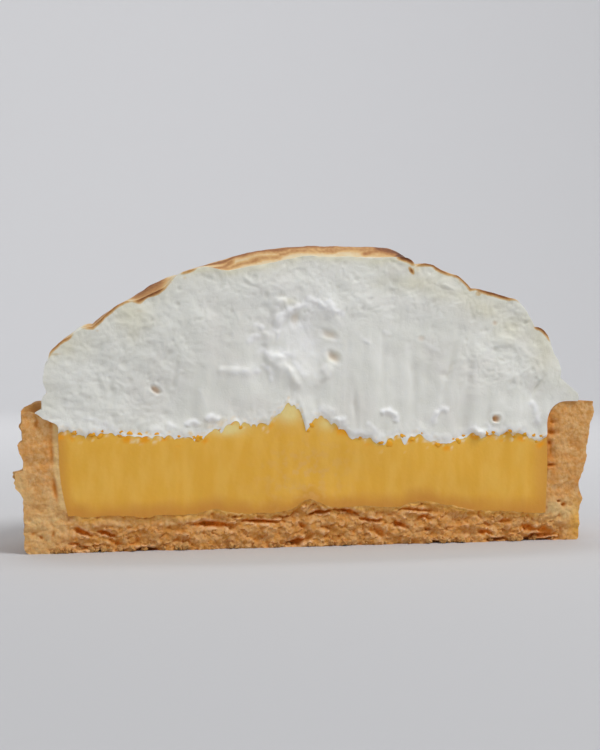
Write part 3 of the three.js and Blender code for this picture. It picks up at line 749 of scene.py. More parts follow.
GROOVES = (   # across, up, half width, half height, depth, lean: soft drags and hollows
    (5.5, 18.9, 0.45, 2.4, 0.45, 0.05), (19.3, 24.5, 0.5, 4.0, 0.4, -0.25), (32.5, 22.1, 0.4, 1.2, 0.6, -0.6),
    (18.6, 23.7, 0.7, 0.5, 0.3, 0.0), (22.0, 23.0, 0.6, 5.0, 0.3, -0.1), (14.0, 22.0, 0.6, 4.0, 0.35, 0.0),
    (-4.5, 24.0, 0.6, 1.8, 0.3, -0.4), (3.0, 35.0, 1.6, 2.2, 0.5, 0.2), (9.5, 25.0, 0.5, 3.5, 0.3, 0.0),
    (-28.0, 21.5, 0.5, 1.6, 0.35, 0.0), (-19.5, 24.0, 0.35, 2.5, 0.25, -0.15),
)
STIRRED_POOL = (-12.6, 16.9, 2.0, 0.7)    # curd smeared into the foam: across, up, half sizes

print(len(BUBBLES), "bubbles,", len(STROKES), "tufts,", len(CURLS), "curls and", len(GROOVES), "drags")

# %% [markdown]
# ## Dry foam, wet foam
# One field says how dry the foam is. Dry foam tears, so it gets shreds: folded ridges mixed with
# round tufts at five sizes, each size bending the next, which keeps them from looking like waves.
# Wet foam smears, so there the same place gets soft upright streaks instead.

# %% Torn foam
def foam_plan(x, z):
    """The coarse relief that the solid has too, with the torn hollow's edge broken up."""
    broad = 0.4 * uneven(x / 7, z / 6, 51.5)
    fine = 0.2 * uneven(x / 2.6, z / 2.6, 53.5)
    drag = 0.3 * uneven(x / 2.1, z / 16, 55.5) * ease((31 - z) / 6) * ease((x + 8) / 6)
    torn_x, torn_z, half_width, half_height = TORN_MIDDLE
    ragged = 0.25 * uneven(x / 3, z / 3, 57.5) + 0.22 * uneven(x / 1.3, z / 1.3, 58.5)
    torn = np.hypot((x - torn_x) / half_width, (z - torn_z) / half_height) + ragged
    bowl = TORN_DEPTH * (1 - ease(torn)) * (1 - 0.6 * ease((z - 28.5) / 4))
    broken = ease(uneven(x / 1.6, z / 1.6, 59.5) * 1.8 + 0.45)
    lip = TORN_LIP * bell(torn - 1.05, 0.2) * ease((5 - x) / 6) * broken
    shelf = 0.4 * TORN_LIP * bell(z - 24.4, 0.7) * bell(x + 11, 4.5) * broken
    return 0.1 + broad + fine + drag + bowl - lip - shelf


def dry_share(x, z):
    """1 where the foam is dry and torn, 0 where it is wet and smeared."""
    left = ease((-15 - x + 0.5 * (z - 20)) / 9)
    upper = ease((z - 26 - 0.1 * x) / 8)
    right = 1.1 * ease((x - 16) / 9) * ease((z - 19) / 5)
    middle = 0.28 * spot(x, z, -1, 28, 8, 6) + 0.6 * spot(x, z, 17, 29, 6, 5)
    rough = 0.25 * uneven(x / 3, z / 3, 80.5)
    return np.clip(np.maximum(np.maximum(left, upper), np.maximum(right, middle)) + rough, 0.08, 1)


def shreds(x, z):
    """Torn foam: soft ridges at five sizes, each bending the next, and some small bubbles."""
    bent_x = x + 0.9 * uneven(x / 2.6, z / 2.6, 81.5)
    bent_z = z + 0.9 * uneven(x / 2.6, z / 2.6, 82.5)
    lean = bent_x * 0.35
    total = np.zeros_like(x)
    sizes = ((3.0, 0.2, 83.5), (1.5, 0.13, 84.5), (0.8, 0.09, 85.5), (0.45, 0.07, 86.5), (0.28, 0.04, 87.5))
    for size, height, salt in sizes:
        wave = uneven((bent_x + 0.4 * bent_z) / size, (bent_z - lean) / size, salt)
        fold = 1 - 2 * np.sqrt(wave * wave + 0.01)
        tuft = 2.2 * uneven(bent_x / size, bent_z / size, salt + 8)
        total += height * mix(fold, tuft, 0.55) * (0.65 + 0.5 * uneven(x / 3, z / 3, salt + 4))
        bent_x = bent_x + 0.4 * size * wave
    return total - 0.15 * pits(x, z, 1.9, 0.3, 23) - 0.08 * pits(bent_x, bent_z, 0.8, 0.35, 29)


grid_x, grid_z = np.meshgrid(np.arange(-34, 34, 0.5), np.arange(18, 38, 0.5))
print("dry share of the foam:", round(float(dry_share(grid_x, grid_z).mean()), 2))

# %% [markdown]
# ## Tufts, curls and bubbles
# The knife pulled up small tufts and rolled foam into loops. A tuft is a short stroke and a loop is
# an arc, and both are only distances: to a line, or to a ring. Bending the coordinates by the
# uneven field before measuring makes their outlines ragged.

# %% Knife marks
def near_lines(x, y, lines):
    """Strength of the nearest of some soft straight strokes."""
    total = np.zeros_like(x)
    for x0, y0, x1, y1, half, strength in lines:
        length = math.hypot(x1 - x0, y1 - y0)
        along = ((x - x0) * (x1 - x0) + (y - y0) * (y1 - y0)) / length
        off = ((x - x0) * (y1 - y0) - (y - y0) * (x1 - x0)) / length
        past = np.maximum(0, np.maximum(-along, along - length))
        total = np.maximum(total, strength * bell(np.hypot(off, past), half))
    return total


def strokes(x, z):
    bent_x = x + 0.4 * uneven(x / 1.2, z / 1.2, 96.5) + 0.18 * uneven(x / 0.45, z / 0.45, 98.5)
    bent_z = z + 0.4 * uneven(x / 1.2, z / 1.2, 97.5) + 0.18 * uneven(x / 0.45, z / 0.45, 99.5)
    ragged = 0.65 + 0.8 * uneven(x / 0.7, z / 0.7, 100.5)
    total = 0.3 * near_lines(bent_x, bent_z, STROKES) * ragged
    for mid_x, mid_z, radius, first, last, height in CURLS:
        turn = np.degrees(np.arctan2(z - mid_z, x - mid_x)) % 360
        middle, half = (first + last) / 2 % 360, (last - first) / 2
        off = np.abs((turn - middle + 180) % 360 - 180)
        ring = bell(np.hypot(x - mid_x, z - mid_z) - radius * (1 + 0.14 * uneven(x, z, 101.5)), 0.42)
        total = np.maximum(total, height * ring * ease((half + 14 - off) / 14) * (0.35 + ragged))
    return total


def fringe_foam(x, z):
    """1 where a highlight is painted on the wet foam curling over the curd's edge, broken up."""
    over_curd = z - curd_edge(x, np.zeros_like(x))
    reach = 1.2 + 0.7 * uneven(x / 2.5, 0.5, 94.5)
    return ease(1.3 - over_curd / reach) * ease(uneven(x / 1.1, z / 0.8, 95.5) + 0.9)


def stirred(x, z):
    """1 where a little curd was stirred into the foam, in beads just above the line."""
    over_curd = z - curd_edge(x, np.zeros_like(x))
    beads = np.maximum(pits(x, z * 1.1, 1.4, 0.6, 61), 0.9 * pits(x, z, 0.8, 0.6, 63))
    film = ease(uneven(x / 5, 0.5, 97.5) + 0.8) * ease(uneven(x / 0.9, z / 0.7, 98.5) * 1.6 + 0.4)
    pool = spot(x, z, *STIRRED_POOL)
    close = ease(1.2 - over_curd / 0.9)
    return np.clip(1.6 * beads * close + 0.55 * film * ease(1.05 - over_curd / 0.7) + 0.5 * pool, 0, 1)


def grooves(x, z):
    total = np.zeros_like(x)
    for across, up, half_width, half_height, depth, lean in GROOVES:
        off = (x - across + lean * (z - up) + 0.2 * uneven(z / 1.5, 0.5, across)) / half_width
        total += depth * bell(np.hypot(off, (z - up) / half_height), 1)
    return total


def bubble_places(x, z):
    """For each bubble: how far out a point lies (1 at its edge), its depth and its brownness."""
    for across, up, half_length, half_width, tilt, depth, brown in BUBBLES:
        c, sn = math.cos(math.radians(tilt)), math.sin(math.radians(tilt))
        along = ((x - across) * c + (z - up) * sn) / half_length
        off = ((z - up) * c - (x - across) * sn) / half_width
        yield np.hypot(along, off) + 0.15 * uneven(x / 0.5, z / 0.5, 103.5), depth, brown


def bubbles(x, z):
    total = np.zeros_like(x)
    for out, depth, _ in bubble_places(x, z):
        total += depth * np.exp(-(np.abs(out) ** 3)) - 0.2 * depth * bell(out - 1.5, 0.45)
    return total


print("tallest tuft:", max(stroke[5] for stroke in STROKES))

# %% [markdown]
# ## The foam's whole face
# All parts are added up into one depth. Close to the curd the foam's face leads into the curd's,
# more gently round the peaks, where the two were stirred together.

# %% Foam relief
def foam_relief(x, z):
    dry = dry_share(x, z)
    over_curd = z - curd_edge(x, np.zeros_like(x))
    swayed = x + 0.6 * uneven(x / 5, z / 4, 90.5)
    streaks = 0.12 * uneven(swayed / 1.3, z / 6, 91.5) + 0.03 * uneven(swayed / 0.5, z / 4, 93.5)
    streaks += 0.06 * uneven(x / 0.9, z / 1.3, 94.5)
    rolls = 0.13 * bell(over_curd - 0.8, 1.0) * ease(uneven(x / 1.5, z / 1.5, 95.5) * 1.6 + 0.6)
    cottony = 0.8 * ease((-17 - x) / 8) * ease(uneven(x / 4, z / 4, 96.5) + 0.6)
    blobs = 0.14 * (1 - crumb_layer(x, z, 0.9, 33)) * np.maximum(bell(over_curd - 0.8, 1.2), cottony)
    smear = streaks * (1 - dry) + 0.75 * grooves(x, z)
    face = foam_plan(x, z) - 0.85 * shreds(x, z) * dry + smear
    face = face - strokes(x, z) - rolls - blobs + bubbles(x, z)
    soft_edge = mix(0.5, 1.1, bell(x + 1, 6))
    return mix(curd_relief(x, z) - 0.05, face, ease((over_curd + 0.1) / soft_edge))


print_range("foam", foam_relief, np.arange(-34, 34, 0.5), np.arange(18, 30, 0.5))

# %% [markdown]
# ## The skin of the dome
# The outside is smooth from the piping bag. It is turned like the case, from the outline given
# above, with a skirt that laps over the rim. The case's inside trims it where it meets the pastry,
# the curd's top trims it below, and the knife's block opens the cut.

# %% Meringue mesh
def foam_skin(x, y, z):
    """Fine unevenness of the piped surface, more so low down on the right."""
    torn = 0.16 * uneven(x / 0.9, y / 0.9, z / 0.9) * ease((x - 31) / 2) * ease((29 - z) / 2)
    return torn + 0.08 * uneven(x / 1.6, y / 1.6, z / 1.6) + 0.04 * uneven(x / 0.6, y / 0.6, z / 0.6)


def skin_point(radius, height, angle):
    body = dome_point(radius, height, angle)
    x, y, z = body[..., 0], body[..., 1], body[..., 2]
    grow = foam_skin(x, y, z)
    return body + np.stack([grow * np.cos(angle), grow * np.sin(angle), grow], axis=-1)


def piped_dome(name):
    angle = close_angles(0.8, 0.4)
    skirt = mix(SKIRT_RIGHT, SKIRT_LEFT, angle / np.pi)
    rings = dome_rings(angle, (40, 24, 26, 18))
    spread = left_end(angle, 2.3, 0.7)     # foam smeared over the broken rim
    rings += [(skirt - 0.6, 21.5), (skirt - 0.1, 20.9), (skirt, 20.3), (skirt - 0.05, 19.2)]
    rings += [(mix(skirt - 0.1, 38.0, spread), 18.7), (mix(skirt - 0.3, 38.1, spread), 17.9)]
    rings += [(mix(skirt - 0.35, 37.8, spread), 17.4), (INNER_RADIUS + 1.2, 8.0), (0.0, 8.0)]
    return turned(name, rings, skin_point, angle)


meringue = carve(piped_dome("meringue_piece"), [
    ("INTERSECT", case_space("inside")),
    ("INTERSECT", sheet_block("surface", curd_edge, OVER_ALL)),
    ("DIFFERENCE", cut_block("foam_cut", foam_relief, np.arange(-42, 42.01, 0.18), np.arange(12, 46, 0.18))),
])

# %% [markdown]
# ## Drops and crumbs
# Where foam and curd met, round drops of curd sit in the foam just above the line. At the foot,
# crumbs that broke off rest against the pastry. Both kinds are many small uneven lumps, so one
# function makes a lump and each kind is joined into one piece.

# %% Lumps
def lump(middle, radii, turns, salt, roughness):
    """Points and faces of one uneven ball."""
    rows, around = 7, 12
    polar = np.linspace(0, np.pi, rows + 2)[1:-1]
    angle = np.linspace(0, 2 * np.pi, around, endpoint=False)
    p, a = np.meshgrid(polar, angle, indexing="ij")
    ball = np.stack([np.sin(p) * np.cos(a), np.sin(p) * np.sin(a), np.cos(p)], -1).reshape(-1, 3)
    ball = np.concatenate([ball, [[0, 0, 1], [0, 0, -1]]])
    bump = 1 + roughness * uneven(ball[:, 0] * 1.7 + salt, ball[:, 1] * 1.7, ball[:, 2] * 1.7 + 3)
    points = ball * bump[:, None] * np.asarray(radii)
    c, sn = math.cos(turns), math.sin(turns)
    px, py, pz = points.T
    points = np.stack([px * c - pz * sn, py, px * sn + pz * c], -1)
    here = np.arange(rows * around).reshape(rows, around)
    beside = np.roll(here, -1, axis=1)
    faces = np.stack([here[:-1], here[1:], beside[1:], beside[:-1]], -1).reshape(-1, 4).tolist()
    top, low = rows * around, rows * around + 1
    faces += [[top, i, j] for i, j in zip(here[0], beside[0])]
    faces += [[low, j, i] for i, j in zip(here[-1], beside[-1])]
    return points + np.asarray(middle), faces


def joined(name, lumps):
    points, faces, start = [], [], 0
    for lump_points, lump_faces in lumps:
        points.append(lump_points)
        faces += [[corner + start for corner in face] for face in lump_faces]
        start += len(lump_points)
    return new_object(name, np.concatenate(points), faces)


dice_box = np.random.default_rng(11)
DROPS = (   # across, height over the curd line, radius
    (-30.6, 0.35, 0.42), (-29.3, 0.3, 0.36), (-25.6, 0.1, 0.55), (-17.1, 0.2, 0.5), (10.5, -0.85, 0.8),
    (12.5, 1.0, 0.55), (13.8, -0.4, 0.42), (15.2, 0.35, 0.34), (-22.0, 0.15, 0.36), (33.0, 0.5, 0.34),
    (21.5, 0.25, 0.4), (28.2, 0.3, 0.36), (30.4, 0.2, 0.42), (-13.4, 0.2, 0.34), (-32.9, 0.3, 0.45),
    (24.6, 0.45, 0.42), (25.7, 0.3, 0.36), (31.8, 0.6, 0.45), (-26.8, 0.45, 0.38), (-24.2, 0.25, 0.4),
    (19.8, 0.35, 0.38), (9.2, 0.35, 0.4), (-19.0, 0.3, 0.36),
)


def drop(across, over, radius, salt):
    up = float(curd_edge(np.array([across]), np.array([0.0]))[0]) + over
    face = float(foam_relief(np.array([across]), np.array([up]))[0])
    return lump((across, face + 0.36 * radius, up), (radius, radius * 0.45, radius * 0.85), 0, salt, 0.3)


drops = [drop(across, over, radius, k) for k, (across, over, radius) in enumerate(DROPS)]
for k in range(16):
    across = dice_box.uniform(17, 34.0) if k % 2 else dice_box.uniform(-33, 15)
    drops.append(drop(across, dice_box.uniform(-0.35, 0.2), dice_box.uniform(0.3, 0.55), k + 40))
curd_drops = joined("curd_drops", drops)

crumbs = []
for k in range(60):
    across = dice_box.uniform(-37, 37)
    size = dice_box.uniform(0.18, 0.5)
    radii = size * dice_box.uniform(0.6, 1.2, 3)
    depth = float(crust_relief(np.array([across]), np.array([0.5]))[0])
    points, faces = lump((across, depth - size * 0.3, 0), radii, dice_box.uniform(-1, 1), k, 0.7)
    points[:, 2] -= points[:, 2].min()     # they lie on the table
    crumbs.append((points, faces))
foot_crumbs = joined("foot_crumbs", crumbs)
print(len(drops), "drops and", len(crumbs), "crumbs")

# %% [markdown]
# ## Masks
# A material has to know where it is: on the cut or on the skin, near the flame or deep in a crack.
# Those facts follow from the same formulas as the shapes, so they are worked out once for every
# point of a mesh and stored with it. The materials read them by name.

# %% Masks on points
def points_of(piece):
    flat = np.empty(len(piece.data.vertices) * 3)
    piece.data.vertices.foreach_get("co", flat)
    return (flat.reshape(-1, 3) / MM).T


def store(piece, **masks):
    for name, values in masks.items():
        layer = piece.data.attributes.new(name, "FLOAT", "POINT")
        layer.data.foreach_set("value", np.clip(values, 0, 1).astype(np.float32))
    print(piece.name, {name: round(float(np.mean(values)), 3) for name, values in masks.items()})


def hollow(relief, x, z, reach):
    """How much deeper the cut face is at a point than around it, in millimetres."""
    ring = [(math.cos(a) * reach, math.sin(a) * reach) for a in np.arange(6) * math.pi / 3]
    around = sum(relief(x + dx, z + dz) for dx, dz in ring) / 6
    return relief(x, z) - around


# %% [markdown]
# ## Where the flame has been
# Toast sits on top of the piped rope and leaves out the grooves. At the cut it shows as a thin line
# under the skin, thick where the flame stayed and missing where it never reached. On the front of
# the crown single streaks are listed one by one.

# %% Foam masks
TOASTED_EDGE = (   # across, half width, strength of the browning where the skin meets the cut
    (-34.8, 1.7, 0.6), (-28.6, 2.8, 0.62), (-22.9, 2.5, 0.85), (-17.6, 1.3, 0.5),
    (12.7, 1.2, 0.95), (17.0, 2.5, 0.72), (21.2, 1.9, 0.6), (26.0, 3.2, 0.85), (33.0, 1.2, 0.85),
)
TOAST_STREAKS = (   # along the front of the crown: from (across, behind the cut), to the same,
    # half width, strength
    (-15.8, 1.9, -9.6, 2.9, 0.45, 0.6), (-14.2, 0.6, -11.6, 1.9, 0.4, 0.45),
    (-13.0, 0.9, -5.2, 1.3, 0.4, 0.3), (-10.5, 2.7, 3.0, 2.6, 0.7, 0.56),
    (-4.8, 1.7, 3.3, 1.5, 0.4, 0.34), (1.5, 2.5, 9.5, 2.5, 0.8, 0.4), (7.2, 0.9, 9.2, 1.4, 0.5, 0.42),
    (2.0, 1.8, 8.5, 1.7, 0.6, 0.34), (9.5, 2.2, 12.5, 1.3, 1.1, 0.7), (12.3, 0.5, 13.2, 2.6, 0.9, 1.0),
    (4.0, 3.3, 12.0, 3.3, 0.6, 0.65), (-9.0, 4.6, 9.0, 4.8, 1.0, 0.5),
    (-14.0, 3.6, -8.0, 5.2, 0.8, 0.55),
)
SCORCHED = (13.65, 38.3, 0.24, 0.4)       # where the flame burnt a groove: across, up, half sizes
TORN_PAINTED_LIGHT = (-1.8, 29.6, 6.5, 5.5)       # painted light in and round the torn hollow
CREAMY = (   # dried foam: across, up, half width, half height
    (-25.0, 31.5, 2.6, 3.0), (14.0, 36.6, 5.0, 1.3), (28.5, 30.6, 3.2, 2.0), (24.0, 33.2, 3.0, 1.5),
    (19.5, 35.0, 3.0, 1.2), (32.8, 26.8, 1.6, 3.2), (-33.0, 27.5, 2.0, 2.0),
    (-2.9, 31.4, 0.8, 1.2), (1.9, 29.3, 1.3, 0.8), (2.5, 26.3, 1.1, 0.9), (-3.6, 33.8, 0.9, 0.5),
)


def outline():
    rows = []
    for angle in (np.array([0.0]), np.array([np.pi])):
        rings = dome_rings(angle, (90, 50, 54, 38))
        rows += [skin_point(r + 0 * angle, z + 0 * angle, angle)[0] for r, z in rings]
        skirt = mix(SKIRT_RIGHT, SKIRT_LEFT, angle / np.pi)
        rows += [skin_point(skirt, np.full(1, z), angle)[0] for z in (21.0, 20.6, 20.2)]
    return np.array(rows)[:, [0, 2]]


def under_skin(x, z):
    line = outline()
    depth = np.empty_like(x)
    for part in np.array_split(np.arange(len(x)), 40):
        gap = np.hypot(x[part, None] - line[None, :, 0], z[part, None] - line[None, :, 1])
        depth[part] = gap.min(axis=1)
    return depth


def edge_toast(x):
    total = np.zeros_like(x)
    for across, half, strength in TOASTED_EDGE:
        total = np.maximum(total, strength * np.exp(-((np.abs(x - across) / half) ** 4)))
    return total


def crest(x, y):
    """1 on top of the piped rope, 0 in the grooves beside it."""
    radius = np.hypot(x, y)
    t = np.arctan2(y, x) / np.pi
    inner, nearest = np.zeros_like(x), np.zeros_like(x)
    for right, left in zip(GROOVE_RIGHT, GROOVE_LEFT):
        groove = mix(right, left, np.clip(t, -0.1, 1.1))
        s = np.clip((radius - inner) / (groove - inner), 0, 1)
        nearest = np.where((radius >= inner) & (radius < groove), 1 - np.abs(2 * s - 1), nearest)
        inner = groove
    return nearest


def browned_edge(x, y, z):
    """How strongly the skin is browned where it meets the cut."""
    edge = edge_toast(x + 0.5 * uneven(x / 1.5, y / 1.5, 112.5))
    return edge * ease((z - 25 - 2.8 * ease((x - 29) / 2)) / 2)


def toast_on_cut(x, z, depth, edge):
    """The browned line just under the skin, with a fainter stain below it in places."""
    ragged = 0.5 + 0.5 * uneven(x / 1.1, z / 1.1, 111.5)
    line = edge * np.exp(-((depth / (0.2 + 0.55 * edge * ragged)) ** 3))
    stain = 0.5 * edge * bell(depth, 1.3) * ease(uneven(x / 1.3, z / 0.8, 119.5) * 2 - 0.3)
    leaning_x = x + 0.6 * (z - SCORCHED[1])
    return np.maximum(np.maximum(line, stain), 0.95 * spot(leaning_x, z, *SCORCHED))


def toast_on_skin(x, y, z, behind, edge):
    """Browning of the outside: near the cut it goes on from the edge, further back it is on the rope."""
    blotch = 0.55 * uneven(x / 7, y / 7, 113.5) + 0.3 * uneven(x / 2.8, y / 2.8, 114.5)
    blotch += 0.12 * uneven(x / 0.9, y / 0.9, 115.5)
    flame = ease((z - 21) / 9)
    away = np.clip(0.8 * ease(crest(x, y) * 1.6) * flame + blotch * flame - 0.08, 0, 1)
    streak = uneven(x / 4.5, behind / 0.8, 116.5)
    near = edge * (0.55 + 0.45 * ease(behind / 2.4 + 0.45 * streak)) + 0.2 * blotch * edge
    crown = near_lines(x, behind + 0.5 * uneven(x / 2.5, 0.5, 120.5), TOAST_STREAKS) * (z > 36)
    crown = crown + 0.18 * ease((z - 34) / 3) + 0.08 * uneven(x / 1.2, behind / 0.6, 123.5)
    return mix(np.maximum(near, crown), away, ease((behind - 3.5) / 4))


def dried(x, z, depth):
    """Foam dried to a cream colour: under the skin, and in the placed spots."""
    creamy = 0.55 * bell(depth, 1.7) * (0.5 + 0.5 * uneven(x / 3, z / 3, 117.5))
    crown = 1.1 * bell(depth, 0.8) * ease((z - 36) / 2)
    creamy += crown * (0.6 + 0.6 * uneven(x / 1.5, z / 0.8, 125.5))
    mottled = 0.75 + 0.5 * uneven(x / 1.8, z / 1.8, 118.5)
    for place in CREAMY:
        creamy += 0.9 * spot(x, z, *place) * mottled
    return creamy


def painted_foam_highlight(x, z):
    """Painted highlight on the tufts and curls and the fringe, and painted light in the torn hollow."""
    torn_painted_light = 1.15 * spot(x, z, *TORN_PAINTED_LIGHT)
    torn_painted_light = torn_painted_light * (0.7 + 0.5 * uneven(x / 1.4, z / 1.4, 124.5))
    return np.clip(strokes(x, z) / 0.13, 0, 1) + fringe_foam(x, z) + torn_painted_light


def foam_masks(piece):
    x, y, z = points_of(piece)
    behind = y - foam_relief(x, z)
    on_cut = np.abs(behind) < 0.1
    depth = np.where(on_cut, under_skin(x, z), 0)
    edge = browned_edge(x, y, z)
    holes = sum(brown * np.exp(-(np.abs(out / 0.9) ** 3)) for out, _, brown in bubble_places(x, z))
    store(
        piece,
        toast=np.where(on_cut, toast_on_cut(x, z, depth, edge), toast_on_skin(x, y, z, behind, edge)),
        creamy=np.where(on_cut, dried(x, z, depth), 0.75),
        wet=np.where(on_cut, 1 - dry_share(x, z), 0.3),
        # recess depth on the cut, used for painted shade
        hollow=np.where(on_cut, 0.5 + hollow(foam_relief, x, z, 0.6) / 0.8, 0.5),
        bubble=np.where(on_cut, holes, 0),
        # painted highlight on tufts, curls and the fringe over the curd, and painted light in the torn hollow
        fluffy=np.where(on_cut, painted_foam_highlight(x, z), 0.0),
        stirred=np.where(on_cut, stirred(x, z), 0),
        # painted shade: the left of the cut face is darkened towards its edge
        dull=np.where(on_cut, ease((-10 - x) / 12) * ease((z - 17.5) / 3), 0),
    )


foam_masks(meringue)

# %% [markdown]
# ## Depth in the curd
# The curd's masks follow distances: to its top, to the floor and to the wall. Small beads and
# bubbles are pits of the same grain field that shaped the crumbs.

# %% Curd masks
PALE_CURD = (   # curd with foam stirred in: across, up, half width, half height, strength
    (-3.8, 18.6, 1.9, 1.5, 1.2), (1.3, 17.0, 1.2, 1.0, 0.8), (-12.4, 16.4, 2.2, 0.9, 1.3),
)


def curd_masks(piece):
    x, y, z = points_of(piece)
    below = curd_edge(x, y) - z
    above = z - floor_top(x, y)
    from_wall = -into_wall(x, z)
    pale = sum(strength * spot(x, z, *place) for *place, strength in PALE_CURD)
    near_foam = ease(1.5 - below / 0.9)
    store(
        piece,
        top=1 - ease(below / 2.2),
        low=1 - ease(above / 2.6 + 0.25 * uneven(x / 2, z / 1.5, 121.5)),
        rim=1 - ease(from_wall / np.where(x < 0, 1.8, 3.4)),
        pale=pale + 0.6 * bell(below, 0.3) * ease(uneven(x / 1.2, 0.5, 122.5) * 2),
        foamy=1.5 * near_foam * pits(x, z, 0.85, 0.45, 65) * ease(uneven(x / 4, 0.5, 127.5) * 1.5 + 0.7),
        lumpy=bell(x + 1.5, 6) * bell(z - 10, 5),
        bead=1.4 * near_foam * pits(x, z * 1.1, 2.0, 0.8, 67) * (1 - 0.9 * bell(x + 2, 5)),
    )


curd_masks(curd)
store(curd_drops, bead=np.full(len(curd_drops.data.vertices), 0.8))

# %% [markdown]
# ## Tones of a broken crust
# On the cut, colour follows depth: hollows and cracks get painted shade in a deep orange, and proud
# crumbs a pale painted highlight. A few places have a tone of their own, such as the lip that
# touches the curd or the soaked top of the floor, and each is a soft ellipse or a band along the wall.

# %% Pastry masks
PALE_CORNER = (34.9, 4.1, 2.8, 1.5)       # each place: across, up, half width, half height
GOLDEN_CORNER = (38.5, 2.4, 1.0, 2.6)
PALE_FLAKE = (-40.2, 9.2, 1.3, 2.2)
SINGED_RIM = (-37.6, 19.3, 0.8, 1.1)


def orange_places(x, z):
    """Deep orange: painted shade in the left wall's groove and in the pits, plus the right wall's inside and
    edge.
    """
    from_curd = into_wall(x, z)
    groove = wall_groove(x, z) / 0.2
    right_inside = (x > 0) * ease((1.5 - from_curd) / 0.8) * ease((z - 8.5) / 1.5)
    inside_patch = right_inside * ease(uneven(x / 0.8, z / 0.95, 131.5) * 2 + 0.75)
    inner_edge = 0.9 * bell(from_curd - 0.25, 0.3) * ease((z - 17.6) / 0.8) * (x > 0)
    inner_edge = inner_edge * (0.7 + 0.6 * uneven(x / 0.5, z / 0.5, 135.5))
    return np.clip(0.9 * groove + 0.9 * inside_patch + inner_edge + 1.2 * wall_pits(x, z), 0, 1)


def pale_places(x, z):
    """Pale: the lip that touches the curd, both corners, the floor's top and the big flake."""
    lip = bell(into_wall(x, z) - 0.35, 0.4) * ease((z - 5) / 2) * (x < 0)
    left = ease((-33.5 - x) / 1.5) * ease((9.5 - z) / 2.5)
    left = left * (0.6 + 0.4 * uneven(x / 1.5, z / 1.5, 132.5))
    right = 1.5 * spot(x, z, *PALE_CORNER)
    top = bell(floor_top(x, 0) - z - 0.2, 0.35) * ease(uneven(x / 1.6, 0.5, 133.5) * 2 + 0.5) * 0.6
    return np.clip(1.3 * lip + 0.6 * left + 1.2 * right + top + 0.8 * spot(x, z, *PALE_FLAKE), 0, 1)


def crust_masks(piece):
    x, y, z = points_of(piece)
    on_cut = np.abs(y - crust_relief(x, z)) < 0.12
    torn = torn_share(x, z)
    wall = (z > floor_top(x, 0)) | (np.abs(x) > 34.5)
    soaked = 0.8 * bell(floor_top(x, 0) - z - 0.2, 0.5) * ease((33.5 - np.abs(x)) / 1.5)
    golden = soaked + 1.2 * spot(x, z, *GOLDEN_CORNER)
    # painted shadow: the deepest cracks at the foot, where the cut meets the table
    gaps = ease((cracks(x, z) - 0.8) / 0.7) * bell(z, 0.7)
    orange = orange_places(x, z)
    cream = pale_places(x, z) * (1 - orange)
    rim = np.where(wall, ease((z - 18.9) / 1.3), 0)
    store(
        piece,
        cut=np.where(on_cut, 1, 0),
        # hollow and deep drive painted shade in the cut's hollows and cracks, and a painted highlight on
        # proud crumbs
        hollow=np.where(on_cut, 0.5 + hollow(crust_relief, x, z, 0.4) / 0.9, 0.5),
        deep=np.where(on_cut, ease((cracks(x, z) - 0.35) / 1.3) * torn, 0),
        orange=np.where(on_cut, orange, 0),
        cream=np.where(on_cut, cream, 0),
        torn=np.where(on_cut, torn, 0),
        tone=np.where(on_cut, mix(0.5, grains(x / 0.7, z / 0.7, 5)[2], 0.25 + 0.75 * torn), 0.5),
        rim=np.where(on_cut, 0.5 * rim, rim * np.where(x < -34, 0.12, 1)),
        golden=np.where(on_cut, golden, 0),
        singed=np.where(on_cut, 0.9 * gaps, 0.5 * spot(x, z, *SINGED_RIM)),
    )


crust_masks(crust)

# %% [markdown]
# ## Into the frame
# Everything so far was laid out round the tartlet's own axis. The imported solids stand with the
# middle of their outline over the origin, so the finished meshes are moved there, shaded smooth up
# to a sharp angle, and said to stand for the solids that they follow.

# %% Place the layers
MIDDLE_X, MIDDLE_Y = 0.33, 20.04     # the tartlet's axis is this far from the origin


def settle(piece, smooth_up_to):
    piece.data.transform(Matrix.Translation((-MIDDLE_X * MM, -MIDDLE_Y * MM, 0)))
    for polygon in piece.data.polygons:
        polygon.use_smooth = True
    piece.data.set_sharp_from_angle(angle=math.radians(smooth_up_to))
    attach(piece, "root")


settle(crust, 50)
settle(curd, 50)
settle(meringue, 60)
settle(curd_drops, 180)
settle(foot_crumbs, 50)
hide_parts("crust")
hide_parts("curd")
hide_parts("meringue")

# %% [markdown]
# ## Materials as expressions
# A material is a small program drawn as nodes. Written in Python it stays readable if a socket can
# be used like a number, so one class wraps a socket and turns plus, minus and times into Math
# nodes. Colours are blended with Mix nodes instead, because a Math node would turn them grey.

